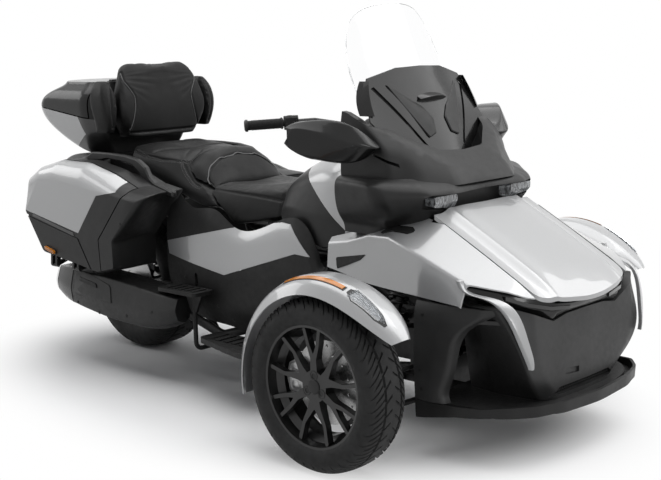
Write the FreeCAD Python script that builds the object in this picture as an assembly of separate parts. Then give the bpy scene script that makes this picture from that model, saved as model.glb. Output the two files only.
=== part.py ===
"""Touring trike with two steered front wheels and one rear wheel.

Units are millimetres and +Z is up. The trike faces -Y, so its right side is -X.
Lengths are laid out from the front axle line (y = 0 there), heights from the ground and
widths from the middle plane. Saving a node shifts it along Y so that the origin ends up on
the ground in the middle of the whole length.
"""
import FreeCAD
import Part
import math
import os

V = FreeCAD.Vector

# Driving dimensions: overall
WHEELBASE = 1714.0
FRONT_TRACK = 1380.0
NOSE = 572.0
TAIL = 2261.0
MIDDLE = (TAIL - NOSE) / 2

# Driving dimensions: wheels
FRONT_TYRE_R = 281.0
FRONT_TYRE_W = 165.0
REAR_TYRE_R = 303.0
REAR_TYRE_W = 225.0
BEAD_R = 190.5
TYRE_GAP = 0.3
BEAD_SHARE = 0.76
RIM_LIP = 11.0
RIM_WALL = 5.0
SPINDLE_R = 17.5
RUN_CLEARANCE = 0.05
DISC_R = 135.0
DISC_T = 5.0
SPOKES = 6
LUG_R = 9.0
LUG_CIRCLE_R = 34.0

# Driving dimensions: front suspension and steering
KINGPIN_X = 595.0
KNUCKLE_TOP = 418.0
KNUCKLE_FOOT = 150.0
BALL_GAP = 0.3
SWING_X = 168.0
STAY_R = 7.0
STAY_GAP = 0.3
STEER_ARM = 115.0
RACK_Z = 292.0
RACK_X = 150.0
ARM_PIVOT_X = 196.0
LOWER_SPREAD = 118.0
LOWER_PIVOT_Z = 172.0
UPPER_SPREAD = 96.0
UPPER_PIVOT_Z = 392.0
EYE_R = 14.0
SHOCK_FOOT_X = 505.0
SHOCK_FOOT_Z = 165.0
SHOCK_HEAD_X = 290.0
SHOCK_HEAD_Z = 560.0
TOWER_X = 250.0
COLUMN_Y = 372.0
COLUMN_Z = 985.0
COLUMN_RAKE = 32.0
BAR_R = 11.1
RAIL_X = 150.0
RAIL_Z = 556.0
RAIL_R = 16.0
SPAR_X = 196.0
SPAR_Z = 165.0
TAIL_WALL = 7.0
STEM_R = 20.0
STEM_LENGTH = 290.0
COLUMN_WALL = 7.0
COLUMN_START = 160.0
COLUMN_LENGTH = 460.0
GRIP_R = 17.0
GRIP_LENGTH = 125.0

# Driving dimensions: bodywork
SKIN = 4.0
PANEL_GAP = 5.0
HOOD_HALF = 270.0
HOOD_REAR = -98.0
HOOD_REAR_Z = 772.0
HOOD_SLOPE = 0.54
HOOD_TIP = -556.0
HOOD_T = 14.0
HOOD_HINGE_Y = -551.0
HOOD_HINGE_Z = 492.0
SWING_GAP = 6.0
SEAT_GAP = 0.4
COWL_REAR = 246.0
TANK_FRONT = 252.0
CASE_WALL = 8.0
PANNIER_IN = 265.0
PANNIER_OUT = 478.0
LID_FACE = 402.0
PAINT_T = 5.0
CASE_FRONT = 1690.0
LID_FRONT = 1744.0
LID_PART_Z = 1027.0
LID_PART_SLOPE = 0.13
LID_PART_Y = 1800.0
CASE_HINGE_X = 470.0
CASE_HINGE_Z = 424.0
CASE_HINGES = (1600.0, 1750.0)
LID_HINGE_Z = 1174.0
LID_HINGE_X = 120.0
PIN_R = 4.0
PIN_PLAY = 0.4
PLATE_HOLE_R = 3.5
PLATE_HOLES_X = 146.0
PLATE_HOLES_Z = 70.0

FRONT_X = FRONT_TRACK / 2
OUT = "parts"


# Points, outlines and sections

def point(axis, station, a, b):
    """A point in the plane of a section: x planes hold (y, z), y planes (x, z), z planes (x, y)."""
    if axis == "x":
        return V(station, a, b)
    if axis == "y":
        return V(a, station, b)
    if axis == "z":
        return V(a, b, station)
    _, centre_y, centre_z = axis
    turn = math.radians(station)
    return V(a, centre_y - b * math.cos(turn), centre_z + b * math.sin(turn))


def bends(points, radius):
    """A closed outline as pieces: straight runs, with each corner bent inside its two runs."""
    count = len(points)
    radii = radius if isinstance(radius, (list, tuple)) else [radius] * count
    corners = []
    for i, corner in enumerate(points):
        before = points[i - 1]
        after = points[(i + 1) % count]
        ends = []
        for other in (before, after):
            length = math.dist(corner, other)
            share = min(radii[i], 0.46 * length) / length
            ends.append(tuple(c + (o - c) * share for c, o in zip(corner, other)))
        corners.append((ends[0], corner, ends[1], radii[i] > 0))
    pieces = []
    for i, (start, corner, end, bent) in enumerate(corners):
        if bent:
            pieces.append((start, corner, end))
        following = corners[(i + 1) % count]
        pieces.append((end, following[0]))
    return pieces


def wire(axis, station, pieces):
    """The outline's pieces as one wire on its plane."""
    edges = []
    for piece in pieces:
        poles = [point(axis, station, a, b) for a, b in piece]
        if len(poles) == 2:
            edges.append(Part.makeLine(poles[0], poles[1]))
        else:
            curve = Part.BezierCurve()
            curve.setPoles(poles)
            edges.append(curve.toShape())
    return Part.Wire(edges)


def loft(axis, stations, radius=0.0, ruled=False):
    """A solid through closed outlines: stations holds (place, points) or (place, points, radius)."""
    wires = []
    for entry in stations:
        bend = entry[2] if len(entry) > 2 else radius
        wires.append(wire(axis, entry[0], bends(entry[1], bend)))
    solid = Part.makeLoft(wires, True, ruled)
    return upright(solid)


def upright(solid):
    """The same solid with its faces turned outward."""
    if solid.Volume < 0:
        solid.reverse()
    return solid


def shrink(points, distance):
    """A closed outline moved inward by a distance, for either winding."""
    area = sum(a[0] * b[1] - b[0] * a[1] for a, b in zip(points, points[1:] + points[:1]))
    turn = distance if area > 0 else -distance
    count = len(points)
    moved = []
    for i, corner in enumerate(points):
        before, after = points[i - 1], points[(i + 1) % count]
        normals = []
        for a, b in ((before, corner), (corner, after)):
            length = math.dist(a, b)
            normals.append((-(b[1] - a[1]) / length, (b[0] - a[0]) / length))
        mx, my = normals[0][0] + normals[1][0], normals[0][1] + normals[1][1]
        scale = turn * 2 / max(mx * mx + my * my, 0.8)
        moved.append((corner[0] + mx * scale, corner[1] + my * scale))
    return moved


def offset(points, distance):
    """An open line moved sideways by a distance, to its left for a positive one."""
    normals = []
    for (ax, ay), (bx, by) in zip(points, points[1:]):
        length = math.hypot(bx - ax, by - ay)
        normals.append((-(by - ay) / length, (bx - ax) / length))
    moved = []
    for i, (x, y) in enumerate(points):
        left = normals[max(i - 1, 0)]
        right = normals[min(i, len(normals) - 1)]
        mx, my = left[0] + right[0], left[1] + right[1]
        scale = distance * 2 / max(mx * mx + my * my, 0.8)
        moved.append((x + mx * scale, y + my * scale))
    return moved


def strip(points, thickness):
    """A closed outline that follows an open line at a thickness."""
    return list(points) + list(reversed(offset(points, thickness)))


def panel(axis, stations, thickness, radius=0.0, ruled=False):
    """A thin panel through open lines, each thickened to the left of its direction."""
    made = []
    for place, points in stations:
        closed = strip(points, thickness)
        count = len(points)
        bend = [0.0] + [radius] * (count - 2) + [0.0, 0.0] + [radius] * (count - 2) + [0.0]
        made.append((place, closed, bend))
    return loft(axis, made, 0.0, ruled)


def prism(axis, low, high, points, radius=0.0):
    """An outline carried from one plane to another."""
    face = Part.Face(wire(axis, low, bends(points, radius)))
    return upright(face.extrude(point(axis, high, 0, 0) - point(axis, low, 0, 0)))


def mirrored(shape):
    return shape.mirror(V(0, 0, 0), V(1, 0, 0))


def symmetric(half):
    """A closed outline in (x, other) from its half, listed from the middle plane outward and back."""
    return list(half) + [(-x, y) for x, y in reversed(half) if x > 0]


def across(half):
    """An open line over the whole width from its half, listed from the middle plane outward."""
    return [(-x, y) for x, y in reversed(half) if x > 0] + list(half)


def box(x0, x1, y0, y1, z0, z1):
    return Part.makeBox(x1 - x0, y1 - y0, z1 - z0, V(x0, y0, z0))


def rod(start, end, radius):
    """A round bar from one point to another."""
    a, b = V(*start), V(*end)
    return Part.makeCylinder(radius, (b - a).Length, a, b - a)


def tube(points, radius, bend):
    """A round bar along straight runs with bent corners."""
    path = []
    last = V(*points[0])
    for i in range(1, len(points) - 1):
        corner = V(*points[i])
        before = (V(*points[i - 1]) - corner).normalize()
        after = (V(*points[i + 1]) - corner).normalize()
        half = before.getAngle(after) / 2
        reach = bend / math.tan(half)
        start, end = corner + before * reach, corner + after * reach
        middle = (before + after).normalize()
        top = corner + middle * (bend / math.sin(half) - bend)
        path.append(Part.makeLine(last, start))
        path.append(Part.Arc(start, top, end).toShape())
        last = end
    path.append(Part.makeLine(last, V(*points[-1])))
    spine = Part.Wire(path)
    heading = V(*points[1]) - V(*points[0])
    ring = Part.Wire([Part.Circle(V(*points[0]), heading, radius).toShape()])
    return upright(spine.makePipeShell([ring], True, False))


def turned(profile, centre, sweep=360.0):
    """A solid turned about the wheel axis: profile holds (x, radius) from the wheel's middle."""
    x0, y0, z0 = centre
    points = [V(x0 + x, y0, z0 + r) for x, r in profile]
    face = Part.Face(Part.makePolygon(points + [points[0]]))
    return upright(face.revolve(V(x0, y0, z0), V(1, 0, 0), sweep))


def fused(shapes):
    whole = shapes[0]
    if len(shapes) > 1:
        whole = whole.multiFuse(shapes[1:])
    return whole


def save(name, *shapes):
    """Writes one node, moved so that the origin is in the middle of the whole length."""
    solids = [s for shape in shapes for s in shape.Solids]
    node = Part.makeCompound(solids) if len(solids) > 1 else solids[0]
    node = node.copy()
    node.translate(V(0, -MIDDLE, 0))
    node.exportStep(os.path.join(OUT, name + ".step"))


# Wheels

def tyre(centre, radius, width):
    """Section of a road tyre: bead behind the rim's lip, bulged sidewall, shoulder and flat crown."""
    half = width / 2
    seat = half * BEAD_SHARE - TYRE_GAP
    bore = BEAD_R + TYRE_GAP
    wall = radius - bore
    side = [
        (seat, bore),
        (seat, bore + RIM_LIP + 1.5),
        (seat + 8, bore + RIM_LIP + 3.5),
        (half * 0.985, bore + wall * 0.40),
        (half, bore + wall * 0.55),
        (half * 0.985, bore + wall * 0.68),
        (half * 0.93, bore + wall * 0.82),
        (half * 0.82, bore + wall * 0.93),
        (half * 0.58, bore + wall * 0.985),
        (half * 0.26, radius),
    ]
    profile = side + [(-x, r) for x, r in reversed(side)]
    return turned(profile, centre)


def rim_barrel(centre, width):
    """Drop-centre barrel with a lip at each side."""
    half = width / 2 * BEAD_SHARE
    seat = BEAD_R
    lip = seat + RIM_LIP
    outer = [
        (half + 7, lip - 2), (half + 5, lip), (half + 1, lip - 1), (half, seat),
        (half * 0.62, seat), (half * 0.40, seat - 22), (-half * 0.30, seat - 22),
        (-half * 0.55, seat), (-half, seat), (-half - 1, lip - 1), (-half - 5, lip),
        (-half - 7, lip - 2),
    ]
    inner = [
        (-half - 5, seat - 1), (-half * 0.55, seat - RIM_WALL - 1), (-half * 0.30, seat - 22 - RIM_WALL),
        (half * 0.40, seat - 22 - RIM_WALL), (half * 0.62, seat - RIM_WALL - 1), (half + 5, seat - 1),
    ]
    return turned(outer + inner, centre)


def turned_about(shape, centre, degrees):
    copy = shape.copy()
    copy.rotate(V(*centre), V(1, 0, 0), degrees)
    return copy


def spoke_outlines(reach):
    """Outlines in (y, z) about the hub: one spoke forks far out, the next close to the hub."""
    late = [
        (-15, 30), (-12, 88), (-25, 128), (-38, reach), (-26, reach + 3), (-13, 132), (0, 104),
        (13, 132), (26, reach + 3), (38, reach), (25, 128), (12, 88), (15, 30),
    ]
    early = [
        (-17, 30), (-27, 70), (-50, 118), (-64, reach - 8), (-52, reach - 1), (-38, 122), (0, 72),
        (38, 122), (52, reach - 1), (64, reach - 8), (50, 118), (27, 70), (17, 30),
    ]
    return late, early


def wheel_face(centre, side, width, dish):
    """Six forked spokes and the hub shell, cut to a dished face."""
    x0, y0, z0 = centre
    reach = BEAD_R - RIM_WALL - 3
    half = width / 2 * BEAD_SHARE
    low, high = sorted((x0 + side * (half - 62), x0 + side * (half + 4)))
    blanks = []
    for i in range(SPOKES):
        outline = spoke_outlines(reach)[i % 2]
        blank = prism("x", low, high, [(y0 + y, z0 + z) for y, z in outline], 5.0)
        blanks.append(turned_about(blank, centre, i * 360.0 / SPOKES))
    outer = side * (half - 2)
    profile = [
        (outer - side * dish, 0), (outer - side * dish, 48), (outer - side * 6, 120), (outer, reach + 6),
        (outer - side * 24, reach + 6), (outer - side * (26 + dish * 0.5), 110),
        (outer - side * (dish + 34), 52), (outer - side * (dish + 34), 0),
    ]
    envelope = turned(profile, centre)
    spokes = [b.common(envelope) for b in blanks]
    face = outer - side * dish
    back = face - side * 62
    hub = turned([(face, 0), (face, 50), (face - side * 34, 58), (back, 58), (back, 0)], centre)
    whole = fused([hub] + spokes)
    for i in range(3):
        angle = math.radians(i * 120.0)
        y = y0 + LUG_CIRCLE_R * math.sin(angle)
        z = z0 + LUG_CIRCLE_R * math.cos(angle)
        start = (x0 + face + side * 1, y, z)
        whole = whole.cut(rod(start, (x0 + face - side * 16, y, z), LUG_R))
    return whole, back


def front_wheel(label, side):
    centre = (side * FRONT_X, 0.0, FRONT_TYRE_R)
    save("tyre_front_" + label, tyre(centre, FRONT_TYRE_R, FRONT_TYRE_W))
    face, back = wheel_face(centre, side, FRONT_TYRE_W, 8.0)
    bore_end = side * (FRONT_TYRE_W / 2 * BEAD_SHARE - 2 - 8.0 - 20)
    bore = rod((centre[0] + back - side * 20, 0, centre[2]), (centre[0] + bore_end, 0, centre[2]),
               SPINDLE_R + RUN_CLEARANCE)
    rim = fused([rim_barrel(centre, FRONT_TYRE_W), face]).cut(bore)
    save("rim_front_" + label, rim)
    disc_x = back - side * 0.0
    ring = turned([(disc_x, 58.5), (disc_x, DISC_R), (disc_x - side * DISC_T, DISC_R),
                   (disc_x - side * DISC_T, 58.5)], centre)
    bell = turned([(back, 30), (back, 80), (back - side * 12, 76), (back - side * 12, 30)], centre)
    rotor = fused([ring, bell])
    holes = []
    for i in range(24):
        angle = math.radians(i * 15.0)
        radius = 92 if i % 2 else 118
        y, z = radius * math.sin(angle), FRONT_TYRE_R + radius * math.cos(angle)
        holes.append(rod((centre[0] + disc_x + side * 2, y, z), (centre[0] + disc_x - side * 8, y, z), 5.0))
    save("disc_front_" + label, rotor.cut(Part.makeCompound(holes)))
    return centre, back


def rear_wheel():
    centre = (0.0, WHEELBASE, REAR_TYRE_R)
    save("tyre_rear", tyre(centre, REAR_TYRE_R, REAR_TYRE_W))
    hub, back = wheel_face(centre, -1, REAR_TYRE_W, 30.0)
    face = -(REAR_TYRE_W / 2 * BEAD_SHARE - 2 - 30.0)
    bore = rod((-130, WHEELBASE, REAR_TYRE_R), (130, WHEELBASE, REAR_TYRE_R), SPINDLE_R + RUN_CLEARANCE)
    sleeve = rod((back, WHEELBASE, REAR_TYRE_R), (96, WHEELBASE, REAR_TYRE_R), 46)
    rim = fused([rim_barrel(centre, REAR_TYRE_W), hub, sleeve]).cut(bore)
    save("rim_rear", rim)
    pulley = turned([(96.3, 30), (96.3, 96), (122, 96), (122, 30)], centre)
    rotor = turned([(-96.0, 46), (-96.0, DISC_R), (-101.0, DISC_R), (-101.0, 46)], centre)
    seat = face - TYRE_GAP
    cap = turned([(seat, 30), (seat, 46), (seat - 8, 50), (-78, 60), (-96, 60), (-96, 30)], centre)
    save("belt_pulley", pulley)
    save("disc_rear", fused([rotor, cap]))


# Front corner: knuckle, fender and suspension

def knuckle(label, side, hub_back):
    """Upright between the ball joints, with spindle, steering arm, caliper and fender stays."""
    x = side * KINGPIN_X
    hub_x = side * FRONT_X + hub_back
    z0 = FRONT_TYRE_R
    bar = loft("z", [
        (KNUCKLE_FOOT, [(x - 18, -18), (x + 18, -18), (x + 18, 18), (x - 18, 18)], 9.0),
        (z0 - 60, [(x - 15, -30), (x + 15, -30), (x + 15, 30), (x - 15, 30)], 9.0),
        (z0, [(x - 17, -46), (x + 17, -46), (x + 17, 46), (x - 17, 46)], 9.0),
        (z0 + 60, [(x - 15, -28), (x + 15, -28), (x + 15, 28), (x - 15, 28)], 9.0),
        (KNUCKLE_TOP, [(x - 17, -17), (x + 17, -17), (x + 17, 17), (x - 17, 17)], 9.0),
    ])
    boss = rod((x, 0, z0), (hub_x - side * 15, 0, z0), 28)
    spindle = rod((x, 0, z0), (side * (FRONT_X + FRONT_TYRE_W / 2 * BEAD_SHARE - 32), 0, z0), SPINDLE_R)
    eye_z = RACK_Z - BALL_GAP - 10
    steer = loft("y", [
        (-STEER_ARM, [(x - 10, eye_z - 7), (x + 10, eye_z - 7), (x + 10, eye_z + 7), (x - 10, eye_z + 7)], 3.0),
        (-20, [(x - 11, z0 - 14), (x + 11, z0 - 14), (x + 11, z0 + 14), (x - 11, z0 + 14)], 3.0),
    ])
    eye = rod((x, -STEER_ARM, eye_z - 9), (x, -STEER_ARM, eye_z + 10), 14)
    disc_x = hub_x - side * DISC_T / 2
    body = prism("x", disc_x - 24, disc_x + 24, [
        (82, z0 - 50), (112, z0 - 64), (146, z0 - 46), (158, z0), (146, z0 + 46), (112, z0 + 64),
        (82, z0 + 50)], 8.0)
    slot = turned([(disc_x - 7, 0), (disc_x + 7, 0), (disc_x + 7, DISC_R + 6), (disc_x - 7, DISC_R + 6)],
                  (0.0, 0.0, z0))
    caliper = body.cut(slot)
    bracket = prism("x", *sorted((x, hub_x - side * 17.5)), [
        (20, z0 - 32), (100, z0 - 40), (100, z0 + 40), (20, z0 + 32)], 6.0)
    stays = []
    for reach in (112.0, -112.0):
        lean = math.copysign(1, reach)
        stays.append(tube([(x, 12 * lean, z0 + 104), (x - side * 26, 76 * lean, z0 + 156),
                           (x - side * 30, reach + 14 * lean, z0 + 230),
                           (side * (FRONT_X - 40), reach, z0 + 330)], STAY_R, 24))
    whole = fused([bar, boss, spindle, steer, eye, bracket, caliper] + stays)
    room = fender_skin(-STAY_GAP, 40.0)
    save("knuckle_" + label, whole.cut(room if side > 0 else mirrored(room)))


def fender_skin(lift, thickness):
    """The fender's guard on the left wheel, lifted from its own face and given a thickness."""
    axis = ("polar", 0.0, FRONT_TYRE_R)
    x0 = FRONT_X

    def band(inner, outer, radius, crown, drop_in, drop_out):
        radius = radius + lift
        return [
            (x0 - inner, radius - drop_in), (x0 - inner + 6, radius), (x0 - inner * 0.45, radius + crown),
            (x0 + outer * 0.30, radius + crown), (x0 + outer * 0.72, radius + crown * 0.35),
            (x0 + outer, radius - drop_out),
        ]

    stations = [
        (30.0, band(34, 44, 366, 12, 4, 8)),
        (38.0, band(60, 64, 357, 16, 8, 18)),
        (52.0, band(80, 78, 342, 20, 14, 26)),
        (72.0, band(88, 83, 330, 22, 16, 30)),
        (92.0, band(88, 83, 324, 22, 16, 30)),
        (118.0, band(88, 83, 318, 20, 16, 30)),
        (146.0, band(86, 83, 314, 16, 14, 28)),
        (172.0, band(84, 82, 314, 12, 12, 24)),
        (194.0, band(80, 78, 318, 8, 8, 16)),
    ]
    return panel(axis, stations, thickness, 14.0)


def fender(label, side):
    """Crowned guard that wraps the tyre from low behind to a pointed tip in front."""
    guard = fender_skin(0.0, SKIN)
    save("fender_" + label, guard if side > 0 else mirrored(guard))


def coil(start, line, length, radius, wire_radius, turns):
    """A spring of a given length and number of turns, with both ends lying flat."""
    across_line = line.cross(V(0, 1, 0)).normalize()
    third = line.cross(across_line)
    steps = turns * 15
    rings = []
    for i in range(steps + 1):
        angle = math.radians(i * 24.0)
        out = across_line * math.cos(angle) + third * math.sin(angle)
        rise = wire_radius + (length - 2 * wire_radius) * min(max((i - 8) / (steps - 16), 0), 1)
        middle = start + out * radius + line * rise
        ring = [middle + out * (wire_radius * math.cos(a)) + line * (wire_radius * math.sin(a))
                for a in (math.radians(45 * k) for k in range(8))]
        rings.append(Part.makePolygon(ring + ring[:1]))
    return upright(Part.makeLoft(rings, True, True))


def suspension():
    """Upper and lower wishbones on both sides, each with its ball joint boss, and a spring leg."""
    arms = []
    lower = KNUCKLE_FOOT - BALL_GAP
    for side in (1, -1):
        x = side * KINGPIN_X
        inner = side * ARM_PIVOT_X
        for low, high, spread, pivot_z in ((lower - 24, lower, LOWER_SPREAD, LOWER_PIVOT_Z),
                                           (KNUCKLE_TOP + BALL_GAP, KNUCKLE_TOP + BALL_GAP + 24,
                                            UPPER_SPREAD, UPPER_PIVOT_Z)):
            middle = (low + high) / 2
            boss = rod((x, 0, low), (x, 0, high), 20)
            legs = [tube([(x, 0, middle), (x - side * 60, sign * 12, middle),
                          (inner, sign * spread, pivot_z)], 9.5, 60) for sign in (1, -1)]
            eyes = [rod((inner, sign * spread - 18, pivot_z), (inner, sign * spread + 18, pivot_z), EYE_R)
                    for sign in (1, -1)]
            arms.append(fused([boss] + legs + eyes))
    save("wishbones", *arms)
    shocks = []
    for side in (1, -1):
        foot = V(side * SHOCK_FOOT_X, 0, SHOCK_FOOT_Z)
        head = V(side * SHOCK_HEAD_X, 0, SHOCK_HEAD_Z)
        line = (head - foot).normalize()
        length = (head - foot).Length
        body = Part.makeCylinder(12, length, foot, line)
        sleeve = Part.makeCylinder(19, 190, foot + line * 180, line)
        seats = [Part.makeCylinder(35, 8, foot + line * d, line) for d in (70, 372)]
        foot_eye = rod((foot.x, -28, foot.z), (foot.x, 28, foot.z), 14)
        head_pin = rod((head.x, 0, head.z), (side * (TOWER_X + STAY_GAP), 0, head.z), 10)
        shocks.append(fused([body, sleeve] + seats + [foot_eye, head_pin]))
        shocks.append(coil(foot + line * (78 + SEAT_GAP), line, 294 - SEAT_GAP * 2, 29, 5.5, 8))
    save("shock_absorbers", *shocks)


def steering_rack():
    """Rack bar with a tie rod to each steering arm."""
    parts = [rod((-RACK_X - 60, -STEER_ARM, RACK_Z), (RACK_X + 60, -STEER_ARM, RACK_Z), 13)]
    for side in (1, -1):
        end = side * KINGPIN_X
        parts.append(rod((side * (RACK_X + 50), -STEER_ARM, RACK_Z), (end, -STEER_ARM, RACK_Z), 7.5))
        parts.append(rod((end, -STEER_ARM, RACK_Z + BALL_GAP), (end, -STEER_ARM, RACK_Z + 18), 13))
        for i in range(5):
            ring_x = side * (RACK_X + 8 + i * 12)
            parts.append(rod((ring_x - 3, -STEER_ARM, RACK_Z), (ring_x + 3, -STEER_ARM, RACK_Z), 20))
    whole = fused(parts)
    for side in (1, -1):
        end = side * KINGPIN_X
        whole = whole.cut(rod((end, -STEER_ARM, RACK_Z - 20), (end, -STEER_ARM, RACK_Z + BALL_GAP), 20))
    save("tie_rods", whole)


# Chassis

def column():
    """Top of the steering axis and its direction down to the frame."""
    rake = math.radians(COLUMN_RAKE)
    return V(0, COLUMN_Y, COLUMN_Z), V(0, -math.sin(rake), -math.cos(rake))


def chassis():
    """Front bulkhead, twin spars, seat rails and swingarm pivot as one welded frame."""
    parts = [
        box(-150, 150, -84, 100, 150, 420),
        box(-110, 110, 90, 440, 212, 330),
        box(-50, 50, 20, 440, 400, 470),
    ]
    top, down = column()
    parts.append(Part.makeCylinder(STEM_R + COLUMN_WALL, COLUMN_LENGTH, top + down * COLUMN_START, down))
    bore = Part.makeCylinder(STEM_R + PIN_PLAY, STEM_LENGTH + 5, top, down)
    slot = box(-160, 160, -140, -88, RACK_Z - 30, RACK_Z + 30)
    for side in (1, -1):
        for z, spread in ((LOWER_PIVOT_Z, LOWER_SPREAD), (UPPER_PIVOT_Z, UPPER_SPREAD)):
            low, high = sorted((side * 140, side * (ARM_PIVOT_X - EYE_R - BALL_GAP)))
            for sign in (1, -1):
                near, far = sorted((sign * 50, sign * (spread + 14)))
                parts.append(box(low, high, near, far, z - 12, z + 12))
        low, high = sorted((side * 140, side * TOWER_X))
        parts.append(prism("y", -26, 26, [(side * 140, 400), (side * TOWER_X, 530),
                                          (side * TOWER_X, 590), (side * 200, 590), (side * 140, 500)]))
        parts.append(tube([(side * 120, 60, 380), (side * RAIL_X, 430, RAIL_Z), (side * RAIL_X, 1180, RAIL_Z),
                           (side * RAIL_X, 1560, 700), (side * RAIL_X, 1900, 760)], RAIL_R, 60))
        parts.append(tube([(side * 120, 60, 200), (side * SPAR_X, 430, SPAR_Z), (side * SPAR_X, 1040, SPAR_Z),
                           (side * 194, 1150, 300), (side * RAIL_X, 1226, 566)], RAIL_R, 50))
        low, high = sorted((side * (SWING_X + 3), side * 206))
        parts.append(box(low, high, 1112, 1184, 296, 372))
        low, high = sorted((side * (RAIL_X - 10), side * (RAIL_X + 10)))
        parts.append(box(low, high, 740, 764, RAIL_Z, 690).cut(rider_form(SEAT_GAP)))
        parts.append(box(low, high, 1290, 1314, 596, 780).cut(pillion_form(SEAT_GAP)))
        for y in (440, 1040):
            reach = rod((side * (RAIL_X - 10), y, RAIL_Z), (side * 330, y, RAIL_Z), 9)
            parts.append(reach.cut(mirrored(beyond_panel()) if side < 0 else beyond_panel()))
    for y, z in ((440, RAIL_Z), (1040, RAIL_Z), (1500, 677), (1860, 753)):
        parts.append(rod((-RAIL_X, y, z), (RAIL_X, y, z), 13))
    parts.append(rod((-SPAR_X, 700, SPAR_Z), (SPAR_X, 700, SPAR_Z), 13))
    parts.append(box(-30, 30, 1848, 1872, 750, 900).common(tail_skin(TAIL_WALL + 2 * SEAT_GAP)))
    save("frame", fused(parts).cut(slot).cut(bore))
    save("engine_block", box(-128, 128, 470, 980, SPAR_Z + 13 + SEAT_GAP, 530))


def swingarm():
    """Two arms from the pivot to the rear axle, bridged ahead of the tyre."""
    arms = []
    for side in (1, -1):
        arms.append(loft("y", [
            (1112, [(side * 128, 300), (side * SWING_X, 300), (side * SWING_X, 366), (side * 128, 366)], 8.0),
            (1330, [(side * 134, 262), (side * SWING_X, 262), (side * SWING_X, 350), (side * 134, 350)], 8.0),
            (WHEELBASE + 40, [(side * 136, 276), (side * 162, 276), (side * 162, 330), (side * 136, 330)], 8.0),
        ]))
    bridge = box(-150, 150, 1190, 1330, 292, 342)
    pivot = rod((-SWING_X - 2.6, 1148, 333), (SWING_X + 2.6, 1148, 333), 14)
    axle = rod((-150, WHEELBASE, REAR_TYRE_R), (150, WHEELBASE, REAR_TYRE_R), SPINDLE_R)
    save("swingarm", fused(arms + [bridge, pivot, axle]))


# Front bodywork

def hood_line(y):
    """Height of the hood's side edge."""
    return HOOD_REAR_Z + (y - HOOD_REAR) * HOOD_SLOPE


def hood_section(y, half):
    """Half of the hood's top line at a station: middle, inner field, ridge, gutter, edge."""
    edge = hood_line(y)
    return [(0, edge + 30), (120, edge + 27), (176, edge + 20), (192, edge + 22), (222, edge + 3), (half, edge)]


def hood_blank(drop, thickness, half=HOOD_HALF):
    """The hood's field, rolled down at the nose, lowered by a drop."""
    stations = []
    for y, roll, crown in ((HOOD_REAR + 40, 0, 1.0), (-180, 0, 1.0), (-300, 0, 1.0), (-400, 2, 1.0),
                           (-480, 6, 0.9), (-530, 16, 0.7), (-575, 40, 0.5)):
        half_line = hood_section(y, half)
        edge = half_line[-1][1]
        line = [(x, edge + (z - edge) * crown - roll - drop) for x, z in half_line]
        stations.append((y, across(line)))
    return panel("y", stations, -thickness, 22.0)


def hood_plan(inset=0.0):
    """The hood's outline from above."""
    half = HOOD_HALF - inset
    return symmetric([
        (0, HOOD_REAR - inset - 22), (120, HOOD_REAR - inset - 16), (half, HOOD_REAR - inset),
        (half - 3, -498 + inset), (170, -538 + inset), (0, HOOD_TIP + inset)])


def hood():
    skin = hood_blank(0, HOOD_T)
    outline = prism("z", 400, 900, hood_plan(PANEL_GAP / 2), [0, 40, 6, 30, 120, 120, 120, 30, 6, 40])
    save("hood", skin.common(outline))


def hood_swing():
    """Round of the space that the hood's rear edge needs as it swings up."""
    reach = math.hypot(HOOD_REAR - HOOD_HINGE_Y, HOOD_REAR_Z + 2 - HOOD_HINGE_Z) + SWING_GAP
    return rod((-520, HOOD_HINGE_Y, HOOD_HINGE_Z), (520, HOOD_HINGE_Y, HOOD_HINGE_Z), reach)


def trunk_tub():
    """Open box under the hood, with a rim that the hood closes on."""
    def ring(grow):
        return symmetric([(0, -412 - grow), (190 + grow, -400 - grow), (236 + grow, -330),
                          (236 + grow, -132 + grow), (0, -132 + grow)])
    wall = CASE_WALL
    outer = loft("z", [(430, ring(0), 14.0), (820, ring(6), 14.0)])
    inner = loft("z", [(430 + wall, ring(-wall), 10.0), (830, ring(6 - wall), 10.0)])
    save("trunk_tub", outer.cut(inner).common(hood_blank(HOOD_T + PANEL_GAP, 400)))


def shoulder_rows():
    """Half sections of the shoulder from its inner edge over the crease to its lower edge."""
    inner = HOOD_HALF + PANEL_GAP / 2
    return [
        (-560, [(inner, hood_line(-560) - 18), (430, 492), (446, 420)]),
        (-440, [(inner, hood_line(-440) - 2), (424, 552), (444, 478)]),
        (-320, [(inner, hood_line(-320)), (412, 603), (430, 524)]),
        (-150, [(inner, hood_line(-150)), (402, 660), (412, 530)]),
        (16, [(244, 770), (364, 696), (362, 524)]),
        (130, [(234, 748), (328, 688), (340, 526)]),
        (250, [(270, 682), (306, 652), (316, 540)]),
        (400, [(276, 640), (290, 626), (298, 560)]),
    ]


def front_sides():
    """Painted shoulders beside the hood: an upper face, a crease and a side face that tucks in."""
    inner = HOOD_HALF + PANEL_GAP / 2
    blank = panel("y", shoulder_rows(), -SKIN, 10.0, True)
    plan = [(228, 352), (228, HOOD_REAR + 6), (inner, HOOD_REAR + 6), (inner, -498), (300, -484), (372, -404),
            (418, -336), (460, -318), (460, 330)]
    side = blank.common(prism("z", 380, 860, plan, [0, 0, 0, 0, 20, 20, 12, 0, 0]))
    vent = prism("z", 640, 860, [(278, 6), (300, 8), (318, 100), (292, 112)], 8.0)
    side = side.cut(vent)
    blade = front_blade(0.0)
    save("front_sides", side.cut(front_blade(SEAT_GAP)), mirrored(side.cut(front_blade(SEAT_GAP))),
         blade, mirrored(blade))


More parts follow.
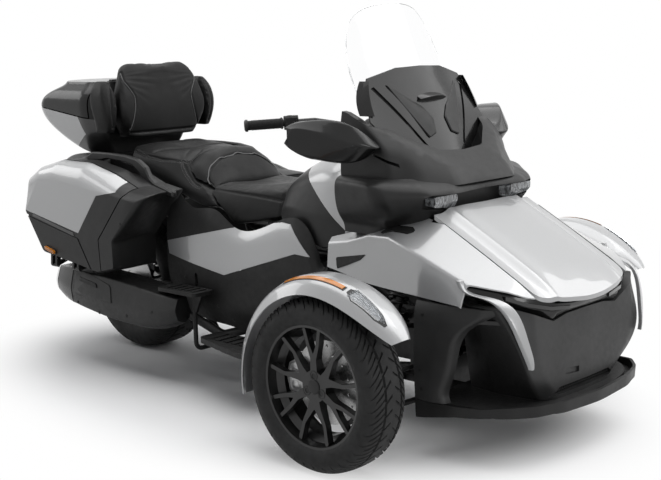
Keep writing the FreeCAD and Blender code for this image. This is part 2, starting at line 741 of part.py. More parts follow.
BAND_ROWS = [
    (0, -505, -522, -530, 474, 486, 504),
    (110, -503, -521, -528, 472, 488, 508),
    (186, -501, -518, -518, 460, 487, 517),
    (265, -470, -487, -484, 490, 508, 538),
    (345, -410, -425, -412, 520, 540, 564),
    (409, -326, -342, -332, 559, 574, 588),
]


def cheek_rows():
    """Half sections of the cheek's outer face: its rolled front edge, its flank and its rear edge."""
    return [
        (199, [(398, -270), (424, -262), (436, -215), (431, -148)]),
        (230, [(398, -262), (425, -252), (437, -212), (431, -148)]),
        (340, [(400, -296), (428, -286), (440, -225), (433, -146)]),
        (440, [(398, -338), (427, -326), (438, -240), (430, -146)]),
        (478, [(392, -392), (420, -374), (434, -250), (428, -146)]),
        (519, [(380, -448), (416, -404), (424, -250), (414, -146)]),
    ]


def chin_mesh(outline):
    """Plate with six-sided holes that fills the chin's air slot."""
    plate = prism("y", -493, -487, shrink(outline, -3.0))
    cells = []
    for row in range(3):
        z = 216.0 + row * 9.0
        for k in range(-18, 19):
            x = (k + 0.5 * (row % 2)) * 10.4
            if abs(x) < 184 - row * 17:
                cell = [(x + 4.9 * math.sin(a), z + 4.9 * math.cos(a)) for a in
                        (math.radians(60 * i) for i in range(6))]
                cells.append(prism("y", -496, -484, cell))
    return plate.cut(Part.makeCompound(cells))


def fascia():
    """Chin with flared shoulders and an air slot, cheeks outside the side scoops, and a floor."""
    chin = loft("z", [
        (190, symmetric([(0, -508), (150, -502), (196, -480), (214, -310), (196, -196), (0, -196)]), 16.0),
        (240, symmetric([(0, -516), (192, -510), (252, -486), (242, -324), (212, -196), (0, -196)]), 16.0),
        (340, symmetric([(0, -520), (270, -518), (334, -508), (286, -330), (230, -196), (0, -196)]), 14.0),
        (440, symmetric([(0, -514), (290, -510), (368, -482), (338, -330), (250, -196), (0, -196)]), 14.0),
        (520, symmetric([(0, -506), (300, -504), (398, -446), (392, -330), (262, -196), (0, -196)]), 14.0),
    ])
    pocket = loft("z", [
        (256, symmetric([(0, -480), (170, -470), (206, -440), (198, -190), (0, -190)]), 12.0),
        (430, symmetric([(0, -480), (260, -472), (310, -430), (245, -190), (0, -190)]), 12.0),
        (530, symmetric([(0, -480), (280, -470), (350, -430), (257, -190), (0, -190)]), 12.0),
    ])
    slot = symmetric([(0, 211), (190, 211), (146, 239), (0, 239)])
    chin = chin.cut(prism("y", -560, -470, slot, [0, 4, 4, 0, 4, 4]))
    chin = fused([chin, chin_mesh(slot)])
    chin = chin.cut(prism("y", -540, -511, [(-125, 275), (-46, 269), (-48, 289), (-124, 297)], 3.0))
    cheeks = []
    for side in (1, -1):
        rows = [(z, [(side * x, y) for x, y in line]) for z, line in cheek_rows()]
        cheeks.append(panel("z", rows, side * 11.0, 16.0))
    floor = prism("z", 186 + SEAT_GAP, 198, symmetric([
        (0, -540), (176, -530), (280, -500), (350, -446), (388, -380), (404, -290), (404, -160), (0, -160)]),
        [0, 60, 40, 40, 20, 20, 0, 0, 0, 20, 20, 40, 40, 60])
    web = [prism("z", 470, 482, [(s * 300, -440), (s * 372, -440), (s * 421, -330), (s * 421, -160),
                                 (s * 262, -200)]) for s in (1, -1)]
    above = [(row[0], row[4] - SEAT_GAP) for row in BAND_ROWS] + [(470, 596), (470, 760), (0, 760)]
    room = prism("y", -720, -300, symmetric(above))
    whole = fused([chin.cut(pocket).cut(room), floor] + [cheek.cut(room) for cheek in cheeks] + web)
    for side in (1, -1):
        blade = front_blade(SEAT_GAP)
        whole = whole.cut(blade if side > 0 else mirrored(blade))
    save("front_fascia", whole)
    cores = []
    for side in (1, -1):
        low, high = sorted((side * 268, side * 402))
        core = box(low, high, -178, -150, 198 + SEAT_GAP, 468)
        for i in range(8):
            z = 214 + i * 31
            core = core.cut(box(low + 14, high - 14, -180, -172, z, z + 20))
        cores.append(core)
    save("radiators", *cores)


def splitter():
    """Lip under the chin, with a rim that runs back along both cheeks as a skirt."""
    lip = prism("z", 181, 186, symmetric([
        (0, -566), (196, -552), (300, -522), (372, -463), (404, -392), (404, -340), (300, -340), (0, -440)]))
    rim = panel("z", [
        (120, across([(0, -566), (196, -553), (300, -524), (372, -464), (408, -392), (426, -286), (428, -150)])),
        (225, across([(0, -573), (200, -560), (304, -530), (380, -470), (416, -396), (434, -286), (435, -150)])),
    ], 10.0, 26.0)
    band = prism("x", -460, 460, [
        (-620, 207), (-566, 208), (-545, 214), (-470, 214), (-400, 205), (-270, 197), (-100, 197), (-100, 130),
        (-180, 141), (-300, 164), (-430, 178), (-545, 178), (-566, 170), (-620, 170)])
    save("splitter", fused([lip, rim.common(band)]))


def lamp_band():
    """Dark band under the hood's edge, rising to the corners, with the light strips in its face."""
    sections = []
    for x, y0, y1, y2, z0, z1, z2 in BAND_ROWS:
        sections.append((x, [(y0, z0), (y1, z1), (y2, z2), (y2 + 12, z2), (y1 + 13, z1), (y0 + 12, z0)]))
    whole = [(-x, line) for x, line in reversed(sections) if x > 0] + sections
    band = loft("x", whole, 0.0, True)
    light = light_strip(SEAT_GAP * 4)
    band = band.cut(light).cut(mirrored(light))
    band = band.cut(front_blade(SEAT_GAP)).cut(mirrored(front_blade(SEAT_GAP)))
    save("lamp_band", band)


def light_strip(grow):
    """Slim light let into the band on one side."""
    sections = []
    for x, y, z in ((118, -521, 494), (210, -510, 505), (290, -475, 525), (340, -430, 548)):
        sections.append((x + (grow if x > 118 else -grow), [
            (y - 6, z - 6 - grow), (y - 6, z + 6 + grow), (y + 6 + grow, z + 6 + grow), (y + 6 + grow, z - 6 - grow)]))
    return loft("x", sections, 0.0, True)


def front_blade(grow):
    """Narrow painted blade that runs from the shoulder down the front corner."""
    rows = [
        (604, [(412, -334), (432, -330), (432, -314), (412, -318)]),
        (560, [(394, -408), (420, -398), (422, -384), (394, -394)]),
        (526, [(364, -486), (398, -468), (400, -452), (366, -470)]),
        (470, [(348, -512), (380, -500), (382, -484), (350, -496)]),
        (400, [(334, -528), (358, -520), (360, -504), (336, -512)]),
        (336, [(324, -532), (334, -530), (336, -516), (326, -516)]),
    ]
    made = []
    for i, (z, line) in enumerate(rows):
        lift = grow if i == 0 else -grow if i == len(rows) - 1 else 0.0
        made.append((z + lift, shrink(line, -grow) if grow else line))
    return loft("z", made, 3.0)


# Upper front: cowl, lamps, visor, screen and mirrors

def cowl():
    """Dark fairing on the shoulders: lower part with the lamp mouth, and a collar round the visor."""
    rear = COWL_REAR
    body = loft("z", [
        (690, symmetric([(0, -50), (170, -60), (236, -30), (300, 50), (322, 110), (316, rear), (0, rear)])),
        (752, symmetric([(0, -84), (180, -100), (262, -76), (352, 20), (362, 70), (345, rear), (0, rear)])),
        (800, symmetric([(0, -110), (196, -132), (278, -104), (388, 0), (398, 52), (362, rear), (0, rear)])),
        (840, symmetric([(0, -112), (196, -134), (296, -96), (404, 10), (412, 50), (366, rear), (0, rear)])),
        (866, symmetric([(0, -92), (180, -100), (290, -62), (400, 22), (410, 56), (362, rear), (0, rear)])),
        (884, symmetric([(0, -64), (164, -70), (274, -30), (366, 44), (372, 80), (338, rear), (0, rear)])),
    ], [0, 18, 18, 18, 18, 0, 0, 0, 18, 18, 18, 18])
    shadow = [(y, [(180, 480), (180, line[0][1] + 30), (line[0][0], line[0][1] + SEAT_GAP), (line[1][0], line[1][1] + SEAT_GAP),
                   (line[1][0] + 90, line[1][1] - 8), (line[1][0] + 90, 480)])
              for y, line in shoulder_rows()]
    for side in (1, -1):
        room = loft("y", [(y, [(side * a, b) for a, b in line]) for y, line in shadow], 0.0, True)
        body = body.cut(room)
    body = body.cut(hood_swing())
    mouth = prism("y", -240, -62, symmetric([(0, 776), (150, 776), (300, 790), (306, 826), (280, 834), (0, 834)]),
                  8.0)
    body = body.cut(mouth)
    collar = loft("z", [
        (858, symmetric([(0, -122), (158, -122), (262, -62), (332, 16), (332, 60), (332, rear), (0, rear)])),
        (900, symmetric([(0, -98), (150, -94), (258, -36), (332, 34), (332, 80), (332, rear), (0, rear)])),
        (956, symmetric([(0, -50), (140, -46), (258, 2), (332, 46), (332, 90), (332, rear), (0, rear)])),
        (1021, symmetric([(0, 2), (130, 8), (250, 52), (331, 92), (331, 130), (331, rear), (0, rear)])),
        (1110, symmetric([(0, 74), (120, 82), (240, 134), (318, 190), (318, 210), (318, rear), (0, rear)])),
    ], [0, 22, 22, 16, 0, 0, 0, 0, 0, 16, 22, 22])
    above = prism("x", -400, 400, [(-300, 780), (-118, 890), (84, 1034), (224, 1096), (300, 1110), (300, 1300),
                                   (-300, 1300)])
    well = loft("z", [
        (894, symmetric([(0, -50), (120, -44), (222, 10), (294, 80), (294, rear + 10), (0, rear + 10)]), 14.0),
        (1150, symmetric([(0, 60), (120, 70), (240, 120), (300, 190), (300, rear + 10), (0, rear + 10)]), 14.0),
    ])
    slit = loft("x", [(-360, [(20, 934), (120, 968), (120, 976), (20, 944)]),
                      (-300, [(-40, 900), (90, 950), (90, 958), (-40, 912)])])
    shield = prism("y", -100, 400, [(x * 1.008, z - 1.5) for x, z in visor_outline()])
    shield = shield.common(visor_skin(1.0, 90.0))
    whole = fused([body, collar.cut(above)]).cut(well).cut(shield)
    cavity = box(-250, 250, 90, rear + 10, 640, 900)
    whole = whole.cut(cavity).cut(slit).cut(mirrored(slit))
    posts = [box(s * 150 - 14, s * 150 + 14, 60, 120, 880, 1050) for s in (1, -1)]
    posts += [box(s * 138 - 10, s * 138 + 10, 60, COWL_REAR, 956, 976) for s in (1, -1)]
    whole = fused([whole] + [post.cut(visor_skin(-5.0 - SEAT_GAP, -160.0)) for post in posts])
    save("cowl", whole)
    lens = loft("y", [
        (-112, [(150, 780), (270, 792), (274, 828), (154, 828)], 8.0),
        (-62 - SEAT_GAP, [(150, 784), (262, 794), (262, 824), (152, 824)], 8.0),
    ]).cut(hood_swing())
    light = light_strip(0.0)
    save("front_lamps", lens, mirrored(lens), light, mirrored(light))


def visor_skin(lift, thickness):
    """The shield's sheet, moved back by a lift and thickened rearward or forward."""
    rows = [
        (900, across([(0, 2), (90, 12), (200, 50)])),
        (960, across([(0, 34), (100, 44), (236, 76)])),
        (1040, across([(0, 72), (130, 84), (300, 116)])),
        (1120, across([(0, 108), (140, 120), (302, 164)])),
        (1185, across([(0, 138), (130, 150), (284, 194)])),
        (1250, across([(0, 168), (120, 178), (262, 216)])),
    ]
    moved = [(z, [(x, y - lift) for x, y in line]) for z, line in rows]
    return panel("z", moved, thickness, 60.0)


def visor_outline():
    """The shield's edge seen from the front."""
    return symmetric([(0, 914), (70, 922), (190, 978), (292, 1044), (306, 1064), (276, 1160), (250, 1206),
                      (120, 1238), (0, 1242)])


def visor():
    """Curved dark shield with a long slanted slot each side, a raised lip and two side fins."""
    shield = visor_skin(0.0, 5.0).common(prism("y", -100, 400, visor_outline()))
    for side in (1, -1):
        slot = prism("y", -60, 260, [(side * 250, 1172), (side * 236, 1178), (side * 96, 972), (side * 104, 966)])
        shield = shield.cut(slot)
    lip = loft("x", [
        (-70, [(117, 1124), (106, 1130), (124, 1140)]),
        (0, [(113, 1126), (84, 1140), (124, 1150)]),
        (70, [(117, 1124), (106, 1130), (124, 1140)]),
    ])
    fins = []
    for side in (1, -1):
        fins.append(loft("z", [
            (1084, [(side * 286, 130), (side * 305, 140), (side * 305, 180), (side * 290, 180)]),
            (1120, [(side * 284, 146), (side * 304, 158), (side * 304, 194), (side * 288, 194)]),
            (1198, [(side * 262, 176), (side * 275, 186), (side * 275, 206), (side * 266, 206)]),
        ]))
    save("visor", fused([shield, lip] + fins))


def screen_skin(lift, thickness):
    """The wind screen's sheet, moved by a lift and given a thickness rearward."""
    rows = [
        (1000, across([(0, 104), (130, 122), (262, 182)])),
        (1150, across([(0, 162), (140, 180), (276, 240)])),
        (1300, across([(0, 222), (130, 240), (258, 298)])),
        (1400, across([(0, 262), (110, 276), (220, 324)])),
        (1475, across([(0, 291), (100, 304), (200, 346)])),
    ]
    return panel("z", [(z, [(x, y + lift) for x, y in line]) for z, line in rows], thickness, 70.0)


def screen():
    """Clear wind screen: a sheet bowed in plan and raked back, with a rounded top."""
    outline = symmetric([(0, 1022), (170, 1030), (244, 1076), (262, 1180), (248, 1300), (206, 1404), (130, 1450),
                         (0, 1464)])
    front = prism("y", 0, 420, outline, [0, 60, 60, 60, 60, 70, 60, 0, 60, 70, 60, 60, 60, 60])
    save("wind_screen", screen_skin(0.0, SKIN).common(front))


def mirrors():
    """Swept mirror pods that stand on the collar's sides, with the glass in the rear face."""
    def ring(front, back, low, crease, top):
        return [(front, crease), (front + 34, top), (back, top - 6), (back, low + 6), (front + 40, low)]
    pod = loft("x", [
        (332 + SEAT_GAP, ring(64, 160, 962, 988, 1014)),
        (372, ring(56, 190, 952, 990, 1030)),
        (440, ring(104, 262, 940, 1012, 1076)),
        (500, ring(160, 262, 956, 1036, 1084)),
        (548, ring(208, 262, 980, 1056, 1078)),
        (573, ring(236, 260, 1008, 1058, 1062)),
    ], 9.0)
    pocket = prism("y", 250, 300, [(424, 966), (536, 990), (548, 1054), (424, 1060)], 14.0)
    pane = prism("y", 250 + SEAT_GAP, 254, [(427, 970), (533, 993), (544, 1051), (427, 1057)], 12.0)
    pod = pod.cut(pocket)
    save("mirror_pods", pod, mirrored(pod))
    save("mirror_glass", pane, mirrored(pane))


def dash():
    """Instrument binnacle behind the screen, with two rails that carry the screen."""
    front = COWL_REAR + SEAT_GAP
    body = loft("y", [
        (front, symmetric([(0, 1088), (110, 1080), (150, 1046), (150, 950), (0, 944)]), 16.0),
        (316, symmetric([(0, 1066), (120, 1058), (160, 1018), (150, 950), (0, 944)]), 16.0),
    ])
    face = prism("y", 308, 340, symmetric([(0, 1046), (104, 1040), (124, 1012), (124, 964), (0, 964)]), 10.0)
    body = body.cut(face)
    room = screen_skin(SKIN + SEAT_GAP, -200.0)
    rails = [box(s * 96 - 9, s * 96 + 9, 96, front + 12, 1040, 1056).cut(room) for s in (1, -1)]
    save("dash", fused([body] + rails))
    save("display", prism("y", 308 + SEAT_GAP, 312, symmetric([(0, 1044), (102, 1038), (122, 1010), (122, 966),
                                                              (0, 966)]), 10.0))


# Rider's area

def tank():
    """Painted saddle between the cowl and the seat, with dark knee pads let into its sides."""
    body = loft("y", [
        (TANK_FRONT, symmetric([(0, 900), (150, 896), (226, 826), (254, 700), (252, 664), (0, 640)])),
        (330, symmetric([(0, 924), (146, 920), (226, 850), (258, 716), (258, 640), (0, 600)])),
        (405, symmetric([(0, 932), (140, 928), (222, 866), (260, 720), (260, 606), (0, 590)])),
        (480, symmetric([(0, 920), (134, 918), (212, 860), (254, 720), (256, 630), (0, 600)])),
        (580, symmetric([(0, 880), (124, 878), (194, 836), (238, 730), (236, 664), (0, 620)])),
        (650, symmetric([(0, 838), (116, 834), (182, 798), (218, 720), (220, 684), (0, 640)])),
    ], [0, 30, 30, 12, 6, 0, 6, 12, 30, 30])
    top, down = column()
    body = body.cut(Part.makeCylinder(STEM_R + COLUMN_WALL + 1, 400, top, down))
    area = [(606, 900), (574, 884), (300, 678), (318, 540), (640, 540), (668, 700), (668, 820)]
    pads = []
    for side in (1, -1):
        region = prism("x", side * 128, side * 320, area)
        inner = prism("x", side * (128 + SEAT_GAP), side * 320, shrink(area, 1.5))
        pads.append(body.common(inner))
        body = body.cut(region)
    save("tank_cover", body)
    save("knee_pads", *pads)


def seat_split(grow):
    """The rider's side of the slanted split between the two seats, seen from the side."""
    area = [(560, 560), (801, 560), (1065, 776), (1130, 800), (1200, 860), (1202, 1000), (560, 1000)]
    return prism("x", -300, 300, shrink(area, -grow) if grow else area)


def rider_form(grow):
    """The rider's seat before the split, or that form grown."""
    return loft("y", [(y, shrink(line, -grow) if grow else line, 20.0) for y, line in (
        (651, symmetric([(0, 800), (90, 802), (150, 786), (200, 700), (206, 682), (0, 660)])),
        (760, symmetric([(0, 784), (110, 790), (186, 786), (224, 704), (226, 664), (0, 644)])),
        (900, symmetric([(0, 770), (120, 778), (206, 786), (238, 700), (238, 640), (0, 620)])),
        (1040, symmetric([(0, 776), (120, 784), (204, 786), (240, 730), (238, 650), (0, 620)])),
    )])


def pillion_form(grow):
    """The passenger's seat before the split, or that form grown."""
    return loft("y", [(y, shrink(line, -grow) if grow else line, 22.0) for y, line in (
        (968, symmetric([(0, 752), (150, 752), (214, 740), (242, 726), (242, 702), (0, 690)])),
        (1080, symmetric([(0, 812), (150, 812), (226, 790), (244, 746), (244, 698), (0, 684)])),
        (1202, symmetric([(0, 900), (130, 892), (200, 856), (242, 780), (242, 732), (0, 706)])),
        (1300, symmetric([(0, 898), (130, 900), (204, 886), (240, 810), (240, 764), (0, 724)])),
        (1420, symmetric([(0, 900), (130, 906), (208, 904), (236, 850), (232, 794), (0, 764)])),
        (1540, symmetric([(0, 920), (120, 924), (200, 916), (216, 870), (210, 812), (0, 802)])),
    )])


def seats():
    """Rider's seat with its raised back, and the passenger's seat that reaches forward under it."""
    bump = loft("y", [
        (1040 + SEAT_GAP, symmetric([(0, 790), (90, 790), (180, 784), (214, 740), (214, 700), (0, 700)]), 22.0),
        (1096, symmetric([(0, 872), (110, 862), (192, 826), (228, 760), (226, 720), (0, 720)]), 26.0),
        (1150, symmetric([(0, 916), (120, 902), (204, 850), (234, 790), (232, 740), (0, 740)]), 26.0),
        (1200, symmetric([(0, 912), (120, 902), (200, 850), (232, 790), (230, 740), (0, 740)]), 26.0),
    ])
    split = seat_split(0.0)
    save("rider_seat", rider_form(0.0).common(split), bump.common(split))
    save("passenger_seat", pillion_form(0.0).cut(seat_split(SEAT_GAP)))


def grab_rails():
    """Flat arched handle on each side case, over the hand recess in the case's top."""
    outline = [(1150, 758), (1262, 788), (1290, 806), (1314, 846), (1364, 874), (1443, 886), (1550, 890),
               (1660, 890), (1694, 872), (1694, 850), (1600, 858), (1560, 867), (1450, 859), (1390, 848),
               (1352, 820), (1332, 776), (1150, 736)]
    slim = shrink(outline, 5.0)
    handle = loft("x", [(296, slim), (302, outline), (318, outline), (324, slim)], 6.0, True)
    handle = handle.cut(pannier_body(-SEAT_GAP))
    save("grab_rails", handle, mirrored(handle))


def insert_area():
    """Outline of the painted insert seen from the side."""
    return [(1236, 556), (1226, 503), (880, 458), (507, 578), (432, 575), (546, 682), (598, 684), (881, 636)]


def panel_rows(lean):
    """Inner face of the left side panel, moved inward by a lean."""
    return [
        (346, [(266 - lean, 604), (296 - lean, 560), (300 - lean, 470), (290 - lean, 330), (262 - lean, 226)]),
        (432, [(266 - lean, 610), (298 - lean, 570), (300 - lean, 470), (296 - lean, 330), (264 - lean, 216)]),
        (600, [(262 - lean, 690), (284 - lean, 640), (306 - lean, 500), (304 - lean, 340), (266 - lean, 214)]),
        (880, [(256 - lean, 642), (282 - lean, 600), (306 - lean, 470), (302 - lean, 340), (264 - lean, 252)]),
        (971, [(255 - lean, 694), (284 - lean, 634), (305 - lean, 480), (300 - lean, 350), (263 - lean, 256)]),
        (1050, [(254 - lean, 694), (284 - lean, 634), (302 - lean, 490), (296 - lean, 360), (262 - lean, 262)]),
        (1142, [(252 - lean, 710), (282 - lean, 640), (294 - lean, 500), (288 - lean, 384), (260 - lean, 294)]),
        (1240, [(250 - lean, 736), (276 - lean, 640), (282 - lean, 520), (276 - lean, 420), (258 - lean, 330)]),
    ]


def beyond_panel():
    """Room from just inside the left side panel outward, where its brackets end."""
    return panel("y", panel_rows(SEAT_GAP), 40.0, 30.0)


def side_panels():
    """Dark lower sides from the footwell back to the cases, each with a painted insert above."""
    side = panel("y", panel_rows(0.0), 6.0, 30.0)
    area = insert_area()
    insert = side.common(prism("x", 200, 400, shrink(area, 1.2)))
    side = side.cut(prism("x", 200, 400, area))
    slot = prism("x", 200, 400, [(1040, 446), (1056, 446), (1056, 356), (1040, 356)], 7.0)
    side = side.cut(slot)
    case = pannier_body(-3.0)
    side = side.cut(case)
    insert = insert.cut(case)
    save("side_panels", side, mirrored(side))
    save("side_inserts", insert, mirrored(insert))


def floorboards():
    boards = []
    for side in (1, -1):
        board = prism("z", 214, 234, [(side * 312, 540), (side * 500, 556), (side * 490, 640), (side * 420, 915),
                                      (side * 312, 915)], [20, 30, 40, 30, 20])
        ribs = [box(min(side * 330, side * 420), max(side * 330, side * 420), 580 + i * 44, 602 + i * 44, 233, 239)
                for i in range(7)]
        stays = [rod((side * 214, y, 190), (side * 330, y, 212), 9) for y in (600, 860)]
        boards.append(fused([board] + ribs + stays))
        low, high = sorted((side * 322, side * 424))
        rear = prism("z", 384, 398, [(low, 925), (high, 925), (high, 1150), (low, 1150)], 20.0)
        ridges = [box(low + 16, high - 16, 950 + i * 36, 966 + i * 36, 397, 402) for i in range(5)]
        near = SPAR_X + RAIL_R + SEAT_GAP
        arm = tube([(side * near, 985, SPAR_Z), (side * 372, 985, SPAR_Z), (side * 372, 985, 388)], 9, 30)
        gusset = prism("x", *sorted((side * 366, side * 378)), [(934, 386), (1036, 386), (998, 312), (972, 312)])
        boards.append(fused([rear, arm, gusset] + ridges))
    save("floorboards", *boards)


def exhaust():
    """Faceted muffler under the right side case, with its pipe from the engine."""
    muffler = loft("y", [
        (1040, [(-322, 306), (-376, 262), (-414, 276), (-426, 318), (-410, 362), (-340, 366)]),
        (1130, [(-312, 262), (-384, 226), (-430, 246), (-444, 300), (-424, 370), (-322, 374)]),
        (1255, [(-304, 236), (-392, 212), (-438, 232), (-450, 300), (-430, 384), (-312, 390)]),
        (1435, [(-302, 240), (-392, 220), (-444, 238), (-454, 310), (-436, 402), (-308, 404)]),
        (1640, [(-302, 254), (-388, 240), (-440, 262), (-448, 326), (-430, 408), (-304, 410)]),
        (1800, [(-306, 292), (-376, 276), (-414, 292), (-420, 340), (-400, 404), (-308, 404)]),
        (1845, [(-310, 310), (-372, 300), (-402, 312), (-406, 346), (-388, 396), (-312, 396)]),
    ], 10.0)
    outlet = rod((-356, 1780, 350), (-356, 1860, 350), 30)
    pipe = tube([(-128 - SEAT_GAP, 866, 231), (-206, 866, 231), (-262, 950, 205), (-352, 1070, 300)], 18, 36)
    save("exhaust", fused([muffler.cut(outlet), pipe]))


# Luggage

def pannier_body(inset):
    """The left case's outer form, or that form moved inward by an inset."""
    stations = [
        (PANNIER_IN + inset, [
            (1150, 764), (1264, 782), (1400, 832), (1556, 866), (1760, 866), (1880, 832), (1938, 786),
            (1954, 650), (1830, 476), (1453, 424), (1340, 446), (1340, 566)]),
        (400 - inset * 0.3, [
            (1142, 762), (1264, 774), (1400, 822), (1556, 858), (1750, 860), (1870, 828), (1936, 784),
            (1952, 648), (1826, 470), (1453, 420), (1342, 446), (1342, 566)]),
        (454 - inset * 0.7, [
            (1138, 754), (1264, 760), (1400, 792), (1556, 828), (1740, 838), (1850, 818), (1926, 776),
            (1948, 644), (1824, 468), (1453, 422), (1345, 448), (1345, 562)]),
        (PANNIER_OUT - inset, [
            (1190, 730), (1264, 736), (1400, 752), (1570, 770), (1730, 786), (1830, 780), (1900, 750),
            (1938, 640), (1822, 478), (1453, 432), (1346, 456), (1350, 566)]),
    ]
    return loft("x", [(x, shrink(line, inset) if inset else line) for x, line in stations], 10.0)


def hand_recess(grow):
    """Room for the fingers in the case's top, under the grab handle."""
    area = [(1342, 784), (1410, 806), (1586, 836), (1600, 910), (1342, 910)]
    return prism("x", 280 - grow, 344 + grow, shrink(area, -grow) if grow else area, 8.0)


def lid_area():
    """Outline of the case's outer lid seen from the side."""
    return [(1262, 900), (1264, 757), (1436, 562), (1424, 380), (2010, 380), (2010, 900)]


def colour_area():
    """Outline of the painted panel on the lid: it wraps over the top and round the rear edge."""
    return [(1322, 760), (1436, 739), (1569, 576), (1934, 641), (1990, 651), (1990, 900), (1450, 900), (1322, 800)]


def case_hinge(y):
    """Hinge under the outer lid: the tub's arm, and the lid's two ears with their pin."""
    base = 440 + (y - CASE_HINGES[0]) * 0.127
    x, z = CASE_HINGE_X, CASE_HINGE_Z
    arm = prism("y", y - 8, y + 8, [(350, base + 5), (396, base + 5), (396, base - 5), (x, z + 9), (x + 9, z),
                                    (x, z - 9), (384, base - 15)], [0, 0, 0, 5, 5, 5, 6])
    arm = arm.cut(rod((x, y - 20, z), (x, y + 20, z), PIN_R + PIN_PLAY))
    ear = [(x - 14, base + 5), (x, base + 5), (x + 6, base + 13), (x + 9, z), (x, z - 9), (x - 9, z)]
    ears = [prism("y", y + low, y + low + 12, ear, [0, 0, 0, 5, 5, 5]) for low in (-22, 10)]
    return arm, fused(ears + [rod((x, y - 22, z), (x, y + 22, z), PIN_R)])


def pannier(label, side):
    """Side case: a tub behind a fixed nose, with a hinged outer lid that carries a painted panel."""
    body = pannier_body(0.0).cut(hand_recess(0.0))
    inside = pannier_body(CASE_WALL)
    hollow = inside.common(prism("x", 200, 600, shrink(lid_area(), CASE_WALL))).cut(hand_recess(CASE_WALL))
    open_side = prism("x", LID_FACE - PANEL_GAP, 600, shrink(lid_area(), -PANEL_GAP / 2))
    tub = body.cut(hollow).cut(open_side)
    shell = body.common(prism("x", LID_FACE, 600, shrink(lid_area(), PANEL_GAP / 2))).cut(inside)
    groove = prism("x", 440, 600, strip([(1990, 638), (1572, 560), (1452, 380)], 8.0)).cut(pannier_body(3.0))
    shell = shell.cut(groove)
    paint = shell.common(prism("x", LID_FACE + 1, 600, shrink(colour_area(), 0.6))).cut(pannier_body(PAINT_T))
    recess = prism("x", LID_FACE - 10, 600, colour_area()).cut(pannier_body(PAINT_T + SEAT_GAP))
    shell = shell.cut(recess)
    hinges = [case_hinge(y) for y in CASE_HINGES]
    tub = fused([tub] + [arm for arm, _ in hinges])
    shell = fused([shell] + [ears for _, ears in hinges])
    if side < 0:
        tub, shell, paint = mirrored(tub), mirrored(shell), mirrored(paint)
    save("pannier_lid_" + label, shell)
    save("pannier_panel_" + label, paint)
    return tub


def case_body(inset):
    """The top case's outer form, or that form moved inward by an inset."""
    def ring(grow, front, back):
        grow = grow - inset
        front = front + inset
        return symmetric([(0, front), (236 + grow, front), (284 + grow, front + 70), (284 + grow, back - 110),
                          (190 + grow, back - inset), (0, back + 40 - inset)])
    return loft("z", [
        (870 + inset, ring(-60, CASE_FRONT + 20, 1900), 26.0),
        (905, ring(-36, CASE_FRONT + 10, 1990), 26.0),
        (960, ring(-14, CASE_FRONT, 2080), 26.0),
        (1040, ring(0, CASE_FRONT, 2166), 26.0),
        (1074, ring(2, CASE_FRONT, 2172), 26.0),
        (1124, ring(-12, CASE_FRONT + 6, 2130), 26.0),
        (1172 - inset, ring(-60, CASE_FRONT + 20, 2060), 26.0),
    ])


